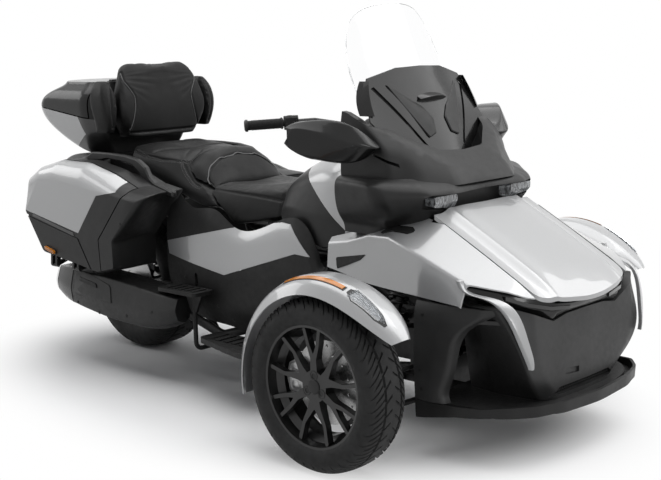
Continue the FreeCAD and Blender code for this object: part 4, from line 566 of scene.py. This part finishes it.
def islands(piece):
    """The separate solids of a node as meshes, in order along Y, then X."""
    work = bmesh.new()
    work.from_mesh(piece.data)
    bmesh.ops.remove_doubles(work, verts=work.verts, dist=WELD_DISTANCE)
    work.verts.ensure_lookup_table()
    left = set(range(len(work.verts)))
    meshes = []
    while left:
        queue = [left.pop()]
        group = set(queue)
        while queue:
            for edge in work.verts[queue.pop()].link_edges:
                for vert in edge.verts:
                    if vert.index in left:
                        left.remove(vert.index)
                        group.add(vert.index)
                        queue.append(vert.index)
        order = sorted(group)
        number = {old: new for new, old in enumerate(order)}
        faces = [tuple(number[v.index] for v in face.verts) for face in work.faces
                 if face.verts[0].index in group]
        mesh = bpy.data.meshes.new("solid")
        mesh.from_pydata([work.verts[i].co.copy() for i in order], [], faces)
        middle = sum((work.verts[i].co for i in order), Vector()) / len(order)
        meshes.append((round(middle.y, 2), round(middle.x, 2), mesh))
    work.free()
    return [mesh for _, _, mesh in sorted(meshes, key=lambda row: row[:2])]


def applied(piece):
    """The piece's mesh with its modifiers in it; the piece loses them."""
    view = bpy.context.evaluated_depsgraph_get()
    mesh = bpy.data.meshes.new_from_object(piece.evaluated_get(view))
    piece.modifiers.clear()
    return mesh


def remeshed(name, mesh, voxel, shrink):
    """A piece with an even skin, a little inside the given mesh."""
    piece = linked(name, mesh)
    remesh = piece.modifiers.new("remesh", "REMESH")
    remesh.mode, remesh.voxel_size = "VOXEL", voxel
    even = piece.modifiers.new("even", "SMOOTH")
    even.iterations, even.factor = 4, 0.5
    piece.data = applied(piece)
    for vertex, normal in zip(piece.data.vertices, [v.normal.copy() for v in piece.data.vertices]):
        vertex.co -= normal * shrink
    piece.data.update()
    return piece


def inflated(piece, cap, held):
    """Blows the cover up by cloth simulation, with some of its points held."""
    scene = bpy.context.scene
    piece.vertex_groups.new(name="held").add(held, 1.0, "REPLACE")
    cloth = piece.modifiers.new("cloth", "CLOTH")
    for key, value in CLOTH.items():
        setattr(cloth.settings, key, value)
    cloth.settings.effector_weights.gravity = 0
    cloth.collision_settings.use_collision = False
    cloth.point_cache.frame_start, cloth.point_cache.frame_end = 1, CLOTH_FRAMES
    for step in range(1, CLOTH_FRAMES + 1):
        scene.frame_set(step)
    for vertex, blown in zip(piece.data.vertices, applied(piece).vertices):
        change = blown.co - vertex.co
        if change.length > cap:
            change *= cap / change.length
        vertex.co += change
    piece.data.update()
    scene.frame_set(1)


def seam_tree(lines):
    """Finds the nearest point of some seams."""
    points = [place for line in lines for place, _ in line]
    tree = KDTree(len(points))
    for i, place in enumerate(points):
        tree.insert(place, i)
    tree.balance()
    return tree


def sewn(piece, lines, width=0.011, depth=0.0045):
    """Draws the cover in along its seams."""
    tree = seam_tree(lines)
    changes = []
    for vertex in piece.data.vertices:
        distance = tree.find(vertex.co)[2]
        if distance < width:
            share = 1 - distance / width
            changes.append((vertex, vertex.normal * (depth * share * share * (3 - 2 * share))))
    for vertex, change in changes:
        vertex.co -= change
    piece.data.update()


def cushion(name, node, mesh, seams, voxel=0.006, shrink=0.005, cap=0.012):
    """Padded piece in a solid's place: even skin, blown-up cover, seams drawn in."""
    piece = remeshed(name, mesh, voxel, shrink)
    low = min(v.co.z for v in piece.data.vertices)
    tree = seam_tree(seams(Skin(piece)))
    held = [v.index for v in piece.data.vertices if v.normal.z < -0.75
            or v.co.z < low + 0.006 or tree.find(v.co)[2] < voxel * 0.8]
    inflated(piece, cap, held)
    piece.modifiers.new("finer", "SUBSURF").levels = 1
    piece.data = applied(piece)
    sewn(piece, seams(Skin(piece)))
    piece.data.materials.clear()
    piece.data.materials.append(VINYL)
    piece.data.polygons.foreach_set("use_smooth", [True] * len(piece.data.polygons))
    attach(piece, "trike")
    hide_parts(node)
    return seams(Skin(piece))


def rider_seams(skin):
    """A seam across the cushion near its front and one along the upper edge on each side."""
    foot = at(0, 676, 700)
    starts = []
    for i in range(13):
        turn = radians(-112 + 224 * i / 12)
        across, up = sin(turn) * 0.5, cos(turn) * 0.5
        starts.append(foot + Vector((across, 0.10 * up, up)))
    lines = [skin.line(starts, [foot] * len(starts))]
    for _, side in SIDES:
        lines.append(skin.line(
            on_side(side, [(330, 676, 876), (330, 780, 862), (330, 900, 858), (330, 1040, 862)]),
            on_side(side, [(120, 676, 690), (120, 780, 690), (120, 900, 690), (120, 1040, 700)])))
    return lines


def lumbar_seams(skin):
    """The seam of the raised back's front panel, just inside its rim."""
    half = [(208, 1066, 770), (196, 1080, 806), (160, 1096, 850), (96, 1108, 880), (0, 1114, 890)]
    return [skin.near(on_side(1, half) + on_side(-1, half[-2::-1]))]


def pillion_seams(skin):
    """A curved seam beside the raised back, a side seam and a seam across the top."""
    lines = []
    for _, side in SIDES:
        lines.append(skin.near(on_side(side, [
            (190, 1130, 912), (215, 1229, 892), (235, 1203, 866), (242, 1175, 836),
            (242, 1119, 790), (240, 1088, 780)])))
        lines.append(skin.near(on_side(side, [
            (204, 1240, 872), (222, 1330, 870), (224, 1420, 880), (206, 1520, 900)])))
    widths = (-200, 0, 200)
    lines.append(skin.line([at(x, 1405, 1050) for x in widths], [at(x, 1395, 800) for x in widths]))
    return lines


def back_seams(skin):
    """The waisted centre panel's two side seams and the seam above the foot."""
    waist = [(188, 1216), (196, 1178), (170, 1140), (153, 1112), (156, 1070), (168, 1020),
             (186, 966)]
    lines = [skin.line([at(side * x, 1480, z) for x, z in waist],
                       [at(side * x, 1620, z) for x, z in waist]) for _, side in SIDES]
    widths = (-180, 0, 180)
    lines.append(skin.line([at(x, 1480, 958) for x in widths], [at(x, 1620, 962) for x in widths]))
    return lines


def bolster_seams(side):
    def seams(skin):
        bow = [(262, 1166), (274, 1110), (276, 1050), (262, 985)]
        return [skin.line([at(side * x, 1480, z) for x, z in bow],
                          [at(side * x, 1640, z) for x, z in bow])]
    return seams


def make_cushions():
    """All padded pieces, with their seams' threads and welts."""
    seat, lumbar = islands(NODES["rider_seat"])
    (pillion,) = islands(NODES["passenger_seat"])
    backs = islands(NODES["backrest"])
    backs.sort(key=lambda mesh: sum(v.co.x for v in mesh.vertices) / len(mesh.vertices))
    threads, welts = Soup(), Soup()

    def stitch_beside(lines, *distances):
        for line in lines:
            for distance in distances:
                stitch(threads, shifted(line, distance))

    lines = cushion("rider_cushion", "rider_seat", seat, rider_seams)
    stitch_beside(lines[:1], 0.005, -0.005)
    stitch_beside(lines[1:], 0.004)
    for line in cushion("rider_lumbar", "rider_seat", lumbar, lumbar_seams):
        piping(welts, line, 0.0024, 0.001)
    lines = cushion("passenger_cushion", "passenger_seat", pillion, pillion_seams, 0.0068)
    stitch_beside(lines, 0.005, -0.005)
    lines = cushion("back_cushion", "backrest", backs[1], back_seams, 0.0055)
    stitch_beside(lines, 0.0045)
    for line in lines[:2]:
        piping(welts, line, 0.0018, 0.0012)
    for (label, side), mesh in zip(SIDES[::-1], backs[::2]):
        name = f"back_bolster_{label}"
        for line in cushion(name, "backrest", mesh, bolster_seams(side), 0.005, 0.004, 0.008):
            stitch(threads, line)
    threads.piece("seat_threads", THREAD, "seat_cover")
    welts.piece("seat_welts", THREAD, "seat_cover")


# Small parts on the skins

def rounded(corners, radius):
    """A flat outline with round corners, as points in the plane of its corners."""
    made = []
    for i, corner in enumerate(corners):
        corner = Vector(corner)
        before = Vector(corners[i - 1]) - corner
        after = Vector(corners[(i + 1) % len(corners)]) - corner
        reach = min(radius, before.length * 0.45, after.length * 0.45)
        start, end = corner + before.normalized() * reach, corner + after.normalized() * reach
        for t in (0, 0.25, 0.5, 0.75, 1):
            made.append(start * (1 - t) ** 2 + corner * (2 * t * (1 - t)) + end * t ** 2)
    return made


def plate(soup, skin, outline, across, thickness, edge=0.0012):
    """A thin raised plate whose outline is thrown onto a skin."""
    across = Vector(across).normalized()
    low = skin.places(outline, across)
    if low:
        middle = sum(low, Vector()) / len(low)
        inner = [p + (middle - p).normalized() * edge for p in low]
        soup.rings([[p + across * 0.001 for p in low],
                    [p - across * (thickness - edge * 0.6) for p in low],
                    [p - across * thickness for p in inner]])


def side_plate(soup, skin, side, corners, radius, thickness, edge=0.0012):
    """A plate on the trike's left or right, with its corners in side view (y, z)."""
    outline = [at(side * BESIDE, y, z) for y, z in rounded(corners, radius)]
    plate(soup, skin, outline, (-side, 0, 0), thickness, edge)


def strip(soup, skin, sections, across, height):
    """A thin raised strip: each section's two ends are thrown onto a skin."""
    rings = []
    for ends in sections:
        found = skin.places(ends, across)
        if found:
            a, b = found
            lift = across * -height
            rings.append([a - lift * 0.5, a + lift, b + lift, b - lift * 0.5])
    soup.rings(rings)


def turned(soup, skin, start, along, profile, sides, axis=None, lift=0.0):
    """A turned form on a skin, where a ray first meets it."""
    found = skin.hit(start, along)
    if found:
        place, normal = found
        axis = normal if axis is None else axis
        soup.drum(place + axis * lift, axis, profile, sides)


def fasten(soup, skin, starts, across, radius):
    """Round heads with a socket and a thin washer, where rays meet a skin."""
    for start in starts:
        turned(soup, skin, start, across, [(along, radius * wide) for along, wide in HEAD], 18)


def side_fasten(soup, skin, side, places, radius):
    """Fasteners on the trike's left or right, at places in side view (y, z)."""
    fasten(soup, skin, [at(side * BESIDE, y, z) for y, z in places], (-side, 0, 0), radius)


# Parts of the scene

def make_wheel_parts():
    """Wheel bolts in their holes, bare centre caps, valves and the calipers' covers."""
    bolt = [(-1, 8.5), (11, 8.5), (12.5, 7.2), (12.5, 4.5), (9, 4)]
    collar = [(0, 11.8), (2.2, 12.8), (3, 14.2), (2.2, 15.8), (-1, 16), (-1, 11.8)]
    cap = [(-2, 24), (2, 24), (4.5, 21), (5.5, 12), (5.8, 4)]
    caliper = [(86, 240), (110, 228), (140, 238), (150, 281), (140, 324), (110, 334), (86, 322)]
    for label, side in SIDES:
        soup, rim = Soup(), Skin(f"rim_front_{label}")
        hub, out = Vector((side * FRONT_X, FRONT_Y, FRONT_R)), Vector((side, 0, 0))
        for i in range(3):
            start = hub + out * 0.3 + direction(2 * pi * i / 3, 2, 1) * WHEEL_BOLT_RING
            turned(soup, rim, start, -out, bolt, 6, out)
            turned(soup, rim, start, -out, collar, 30, out, 0.0145)
        turned(soup, rim, hub + out * 0.3, -out, cap, 40, out)
        valve = hub + Vector((side * 0.030, 0.10 * RIM_R, 0.86 * RIM_R))
        soup.pipe([valve, valve + Vector((side * 0.012, 0, -0.010)),
                   valve + Vector((side * 0.026, 0, -0.016))], [0.0035, 0.0035, 0.0026], 12)
        soup.piece(f"wheel_bolts_{label}", STEEL, "black_steel", f"wheel_{label}")
        cover, skin = Soup(), Skin(f"knuckle_{label}")
        side_plate(cover, skin, side, caliper, 12, 0.002)
        for z in (258, 304):
            pad = [(104, z - 14), (134, z - 14), (134, z + 14), (104, z + 14)]
            side_plate(cover, skin, side, pad, 12, 0.0034)
        cover.piece(f"caliper_cover_{label}", CALIPER, "cast_grey", f"steer_{label}")


def fender_band(soup, skin, side, turns, edges, height, count, ends):
    """A raised band along a fender between two angles about the wheel."""
    hub = Vector((0, FRONT_Y, FRONT_R))
    rings = []
    for i in range(count + 1):
        t = i / count
        taper = min(1.0, ends + (1 - ends) * 5 * min(t, 1 - t))
        near, far = edges(t)
        middle, half = (near + far) / 2, (far - near) / 2 * taper
        out = direction(radians(turns[0] + (turns[1] - turns[0]) * t), 1, 2)
        starts = [hub + out * 0.6 + Vector((side * (middle + x), 0, 0)) for x in (-half, half)]
        found = skin.places(starts, -out)
        if found:
            a, b = found
            lift, sink = out * height, out * 0.002
            rings.append([a - sink, a + lift * 0.8, (a + b) / 2 + lift, b + lift * 0.8, b - sink])
    soup.rings(rings)


def make_fender_lamps():
    """Amber strip along each fender's edge, and the ribbed marker lens ahead of it."""
    for label, side in SIDES:
        skin = Skin(f"fender_{label}")
        amber, clear, dark = Soup(), Soup(), Soup()
        fender_band(amber, skin, side, (69, 111), lambda t: (0.727, 0.742), 0.0042, 32, 0.9)
        fender_band(dark, skin, side, (68, 112), lambda t: (0.725, 0.744), 0.0018, 32, 0.9)
        fender_band(dark, skin, side, (114, 141),
                    lambda t: (0.708 + 0.010 * t, 0.756 - 0.012 * t), 0.0016, 24, 0.35)
        for i in range(5):
            shares = (0.05 + 0.19 * i, 0.17 + 0.19 * i)
            fender_band(
                clear, skin, side, (116, 139.5 - abs(i - 2) * 1.2),
                lambda t: [0.711 + 0.009 * t + share * (0.042 - 0.020 * t) for share in shares],
                0.0058, 20, 0.5)
        amber.piece(f"fender_strip_{label}", AMBER, "lamp_lens", f"steer_{label}")
        clear.piece(f"fender_lens_{label}", LENS, "lamp_lens", f"steer_{label}")
        dark.piece(f"fender_lens_seat_{label}", GLOSS, "silver", f"steer_{label}")


def make_core_fins():
    """Thin upright fins in the two coolers behind the side scoops."""
    soup = Soup()
    for _, side in SIDES:
        for i in range(30):
            soup.block(at(side * (284 + i * 3.6), -175.2, 334), (0.0004, 0.0022, 0.118))
    soup.piece("cooler_fins", CAST, "black_steel")


def make_nose_vents():
    """Slot vents on top of the nose sides, and dark wedges."""
    skin, down = Skin("front_sides"), Vector((0, 0, -1))
    for label, side in SIDES:
        vent, rim, wedge = Soup(), Soup(), Soup()
        for soup, wide, height in ((rim, 3.5, 0.0012), (vent, 0.0, 0.0022)):
            sections = []
            for i in range(25):
                t = i / 24
                y, middle = 70 + wide - (128 + 2 * wide) * t, 326 - 7 * t
                half = (9 + 3 * t + wide) * min(1.0, 0.25 + 6 * min(t, 1 - t))
                sections.append([at(side * x, y, ABOVE) for x in (middle + half, middle - half)])
            strip(soup, skin, sections, down, height)
        side_plate(wedge, skin, side, [(300, 592), (140, 622), (168, 600), (292, 552)], 8, 0.0026)
        vent.piece(f"nose_vent_{label}", GRAINED, "dark_plastic")
        rim.piece(f"nose_vent_rim_{label}", GLOSS, "dark_plastic")
        wedge.piece(f"nose_wedge_{label}", GRAINED, "dark_plastic")


def make_shield_blades():
    """Raised blades on the shield, and the dark backing of its slots."""
    skin, back = Skin("visor"), Vector((0, 1, 0))
    for label, side in SIDES:
        blade, backing, rings = Soup(), Soup(), []
        corners = rounded([(190, 1184), (64, 1102), (32, 1064), (42, 1014), (82, 1000)], 6)
        plate(blade, skin, [at(side * x, AHEAD, z) for x, z in corners], back, 0.0065, 0.005)
        blade.piece(f"shield_blade_{label}", SATIN, "gloss_black")
        for i in range(13):
            t = i / 12
            ends = ((262 - 148 * t, 1164 - 208 * t), (226 - 142 * t, 1190 - 208 * t))
            found = skin.places([at(side * x, AHEAD, z) for x, z in ends], back)
            if found:
                a, b = (place + back * 0.0085 for place in found)
                rings.append([a, b, b + back * 0.0018, a + back * 0.0018])
        backing.rings(rings)
        backing.piece(f"shield_slot_{label}", GRAINED, "dark_plastic")


def make_screen_edge():
    """Polished edge round the wind screen."""
    skin = Skin("wind_screen")
    centre, back = at(0, AHEAD, 1220), Vector((0, 1, 0))
    line = []
    for i in range(61):
        out = direction(radians(-28 + 236 * i / 60), 0, 2)
        near, far = 0.02, 0.42
        for _ in range(13):
            middle = (near + far) / 2
            near, far = (middle, far) if skin.hit(centre + out * middle, back) else (near, middle)
        found = skin.hit(centre + out * (near - 0.0015), back)
        if found:
            line.append(found[0] + back * 0.002)
    soup = Soup()
    soup.pipe(line, 0.0021, 8)
    soup.piece("screen_edge", EDGE, "clear_screen")


def make_case_parts():
    """Amber side reflectors, rails and locks on the lids, and the top case's latch."""
    for label, side in SIDES:
        lid = Skin(f"pannier_lid_{label}")
        amber, rim, rail, lock = Soup(), Soup(), Soup(), Soup()
        side_plate(rim, lid, side, [(1728, 470), (1798, 488), (1801, 506), (1730, 490)], 6, 0.003)
        side_plate(amber, lid, side, [(1732, 474), (1795, 490), (1797, 503), (1733, 487)], 4,
                   0.014, 0.003)
        side_plate(rail, lid, side, [(1596, 560), (1884, 618), (1882, 632), (1600, 575)], 5, 0.0028)
        turned(lock, lid, at(side * BESIDE, 1640, 792), (-side, 0, -0.45),
               [(-1, 12), (2.5, 12), (3.5, 10.5), (3.5, 7), (2, 6.5)], 28)
        body = f"side_lid_{label}"
        rail.piece(f"case_rail_{label}", RAIL, "dark_plastic", body)
        amber.piece(f"case_reflector_{label}", AMBER, "red_lens", body)
        rim.piece(f"case_reflector_rim_{label}", GRAINED, "dark_plastic", body)
        lock.piece(f"case_lock_{label}", CHROME, "silver", body)
    case = Skin("top_case_tub")
    latch, key = Soup(), Soup()
    corners = rounded([(-62, 1010), (62, 1010), (54, 1046), (-54, 1046)], 10)
    plate(latch, case, [at(x, BEHIND, z) for x, z in corners], (0, -1, 0), 0.006, 0.002)
    turned(key, case, at(0, BEHIND, 1000), (0, -1, 0),
           [(-1, 11), (4, 11), (5, 9.5), (5, 6), (3.5, 5.5)], 28)
    key.piece("top_case_lock", CHROME, "silver")
    latch.piece("top_case_latch", GRAINED, "dark_plastic")


def make_controls():
    """Ribbed sleeves on the grips, bar ends, and buttons on the switch pods."""
    ribs, buttons, ends = Soup(), Soup(), Soup()
    grip = [(2, -2), (2, 3.5), (7, 3.5)]
    for i in range(22):
        rib = 10 + i * (GRIP_LENGTH - 22) / 22
        grip += [(rib, 0.2), (rib + 1.2, 1.2), (rib + 3, 1.2), (rib + 4, 0.2)]
    grip = [(along, GRIP_R + out) for along, out in grip + [(GRIP_LENGTH - 2, -2)]]
    for _, side in SIDES:
        start, end = at(side * 210, 480, 1052), at(side * 396, 632, 1042)
        line = (end - start).normalized()
        hold = end - line * (GRIP_LENGTH + 2) / 1000
        ribs.drum(hold, line, grip, 40)
        ends.drum(end - line * 0.002, line,
                  [(0, 14), (1, 21.5), (9, 21.5), (12, 18), (12.5, 7), (9.5, 6)], 36)
        pod = hold - line * 0.029
        rear = line.cross(Vector((0, 0, 1))).normalized() * -side
        up = rear.cross(line) * -side
        turn = Matrix((line, rear, up)).transposed()
        ribs.block(pod, (0.021, 0.0275, 0.024), turn, 0.006)
        for a, b, *half in (
                (-0.010, 0.010, 0.006, 0.0016, 0.0045), (0.006, 0.010, 0.005, 0.0016, 0.0045),
                (-0.002, -0.004, 0.011, 0.0018, 0.0055), (-0.006, -0.016, 0.005, 0.0014, 0.0035)):
            buttons.block(pod + line * a + up * b + rear * 0.0275, half, turn, 0.0008)
        buttons.block(pod + up * 0.0245 + line * 0.004, (0.008, 0.007, 0.0016), turn, 0.0008)
    ribs.piece("grip_sleeves", GRIP, "grip_rubber", "bars")
    buttons.piece("switch_buttons", SATIN, "grip_rubber", "bars")
    ends.piece("bar_ends", STEEL, "black_steel", "bars")


def make_display_marks():
    """Marks on the display: two arcs of ticks and a row of bars."""
    soup, face, back = Soup(), 313.2, Vector((0, -0.0006, 0))
    for middle in (-68, 68):
        for i in range(19):
            turn = radians(-210 + i * 13.3)
            across = Vector((cos(turn), 0, -sin(turn)))
            half = Vector((sin(turn), 0, cos(turn))) * 0.0005
            ends = [at(middle, face, 1002) + across * reach / 1000
                    for reach in (24.5 if i % 3 else 22, 27)]
            soup.rings([[p - half, p + half, p + half + back, p - half + back] for p in ends])
    for i in range(8):
        soup.block(at(-24 + i * 7, face - 0.2, 984 + 0.9 * i),
                   (0.0022, 0.0004, 0.0018 + 0.0008 * i))
    soup.piece("display_marks", MARKS, "mirror")


def sleeve(soup, skin, x, z, stations, lift):
    """A band round a part that lies along Y, thrown inward from round its axis."""
    outs = [direction(2 * pi * k / 56, 0, 2) for k in range(56)]
    rings = []
    for y in stations:
        found = [skin.hit(at(x, y, z) + out * 0.4, -out) for out in outs]
        if None not in found:
            rings.append([place + out * lift for (place, _), out in zip(found, outs)])
    first, last = ([p + (at(x, y, z) - p).normalized() * 0.004 for p in rings[i]]
                   for i, y in ((0, stations[0]), (-1, stations[-1])))
    soup.rings([first] + rings + [last])


def make_exhaust_trim():
    """Tip and end shell on the muffler, a shield plate with a slot, and bolts."""
    skin = Skin("exhaust")
    tip, shell, shield, slot, bolts = (Soup() for _ in range(5))
    sleeve(tip, skin, -336, 345, [1822, 1828, 1834, 1839], 0.0030)
    sleeve(shell, skin, -336, 345, [1690, 1720, 1760, 1790, 1818], 0.0022)
    tip.drum(at(-356, 1845, 350), (0, 1, 0),
             [(-4, 36), (6, 36.5), (9, 34), (9, 30.5), (-30, 29.5), (-60, 28.5)], 48)
    side_plate(shield, skin, -1, [(1400, 300), (1660, 306), (1670, 392), (1560, 404), (1420, 372)],
               14, 0.0032)
    side_plate(slot, skin, -1, [(1500, 352), (1630, 368), (1630, 384), (1510, 370)], 7, 0.0040)
    side_fasten(bolts, skin, -1, [(1160, 300), (1320, 262), (1500, 250), (1650, 272)], 6)
    tip.piece("exhaust_tip", CHROME, "silver")
    shell.piece("exhaust_shell", GLOSS, "black_steel")
    shield.piece("exhaust_shield", SATIN, "black_steel")
    slot.piece("exhaust_slot", GRAINED, "dark_plastic")
    bolts.piece("exhaust_bolts", STEEL, "black_steel")


def make_fasteners():
    """Socket heads on the side panels, cheeks, side cases and rear body."""
    soup = Soup()
    for _, side in SIDES:
        side_fasten(soup, Skin("side_panels"), side, [(400, 290), (520, 236), (700, 262),
                    (860, 282), (990, 590), (1120, 420), (930, 330)], 5.8)
        side_fasten(soup, Skin("front_fascia"), side, [(-180, 480), (-170, 300), (-176, 236)], 5.2)
        side_fasten(soup, Skin("pannier_tubs"), side, [(1290, 640), (1330, 500)], 5.5)
    fasten(soup, Skin("rear_carrier"), [at(x, BEHIND, 760) for x in (-30, 30)], (0, -1, 0), 5)
    soup.piece("panel_fasteners", STEEL, "black_steel")


def make_board_pads():
    """Round rubber studs on the rider's floorboards."""
    soup, skin = Soup(), Skin("floorboards")
    stud = [(-1, 5.2), (1.4, 5.2), (2.2, 4.2), (2.2, 1.5)]
    for _, side in SIDES:
        for row in range(9):
            for k in range(5):
                x, y = 338 + k * 17 + (row % 2) * 8, 590 + row * 34
                found = skin.hit(at(side * x, y + 11, 300), (0, 0, -1))
                if found and found[0].z < 0.25:
                    soup.drum(found[0], (0, 0, 1), stud, 12)
    soup.piece("board_studs", GRIP, "grip_rubber")


# Stage and light

def seen_directly(tree):
    """1 for rays from the camera, from gloss and through glass, else 0."""
    path = add_node(tree, "LightPath").outputs
    first = add_node(tree, "Math", path["Is Camera Ray"], path["Is Glossy Ray"],
                     operation="MAXIMUM")
    return add_node(tree, "Math", first.outputs[0], path["Is Transmission Ray"],
                    operation="MAXIMUM").outputs[0]


def make_floor():
    """Pale floor that fades to white away from the object."""
    bpy.ops.mesh.primitive_plane_add(size=60)
    floor = bpy.context.object
    floor.name = "floor"
    material = bpy.data.materials.new("floor_white")
    material.use_nodes = True
    tree = material.node_tree
    bounce = add_node(tree, "LightPath").outputs["Is Diffuse Ray"]
    tone = add_node(tree, "Mix", data_type="RGBA", Factor=bounce,
                    A=colour(FLOOR_SEEN), B=colour(FLOOR_BOUNCE))
    shader = tree.nodes["Principled BSDF"]
    shader.inputs["Roughness"].default_value = 0.8
    shader.inputs["Specular IOR Level"].default_value = 0.1
    tree.links.new(tone.outputs["Result"], shader.inputs["Base Color"])
    place = add_node(tree, "TexCoord").outputs["Object"]
    shape = add_node(tree, "Mapping", place, Scale=(1 / FLOOR_REACH[0], 1 / FLOOR_REACH[1], 1))
    distance = add_node(tree, "VectorMath", shape.outputs["Vector"], operation="LENGTH")
    fade = add_node(tree, "MapRange", distance.outputs["Value"],
                    interpolation_type="SMOOTHSTEP", From_Min=FLOOR_FADE[0], From_Max=FLOOR_FADE[1])
    seen = add_node(tree, "Math", fade.outputs["Result"], seen_directly(tree), operation="MULTIPLY")
    glow = add_node(tree, "Emission", Strength=1.0)
    mix = add_node(tree, "MixShader", seen.outputs[0], shader.outputs[0], glow.outputs[0])
    tree.links.new(mix.outputs[0], tree.nodes["Material Output"].inputs["Surface"])
    floor.data.materials.append(material)


def make_sky():
    """Soft blue light on the object, and white behind it."""
    world = bpy.data.worlds.new("world")
    bpy.context.scene.world = world
    world.use_nodes = True
    tree = world.node_tree
    background = tree.nodes["Background"]
    background.inputs["Color"].default_value = SKY_COLOUR
    background.inputs["Strength"].default_value = SKY_LIGHT
    white = add_node(tree, "Background", (1, 1, 1, 1), 1.0)
    mix = add_node(tree, "MixShader", seen_directly(tree), background.outputs[0], white.outputs[0])
    tree.links.new(mix.outputs[0], tree.nodes["World Output"].inputs["Surface"])


def make_lights():
    for name, place, target, sides, power in LAMPS:
        data = bpy.data.lights.new(name, "AREA")
        data.shape = "RECTANGLE"
        data.size, data.size_y = sides
        data.energy = power
        made = linked(name, data)
        made.location = place
        made.rotation_mode = "QUATERNION"
        made.rotation_quaternion = (Vector(target) - Vector(place)).to_track_quat("-Z", "Y")


bpy.context.scene.view_settings.view_transform = "Standard"
for make in (make_camera, make_floor, make_sky, make_lights, dress_nodes, make_tyres,
             make_cushions, make_wheel_parts, make_fender_lamps, make_core_fins, make_case_parts,
             make_controls, make_display_marks, make_exhaust_trim, make_nose_vents,
             make_shield_blades, make_screen_edge, make_fasteners, make_board_pads):
    make()
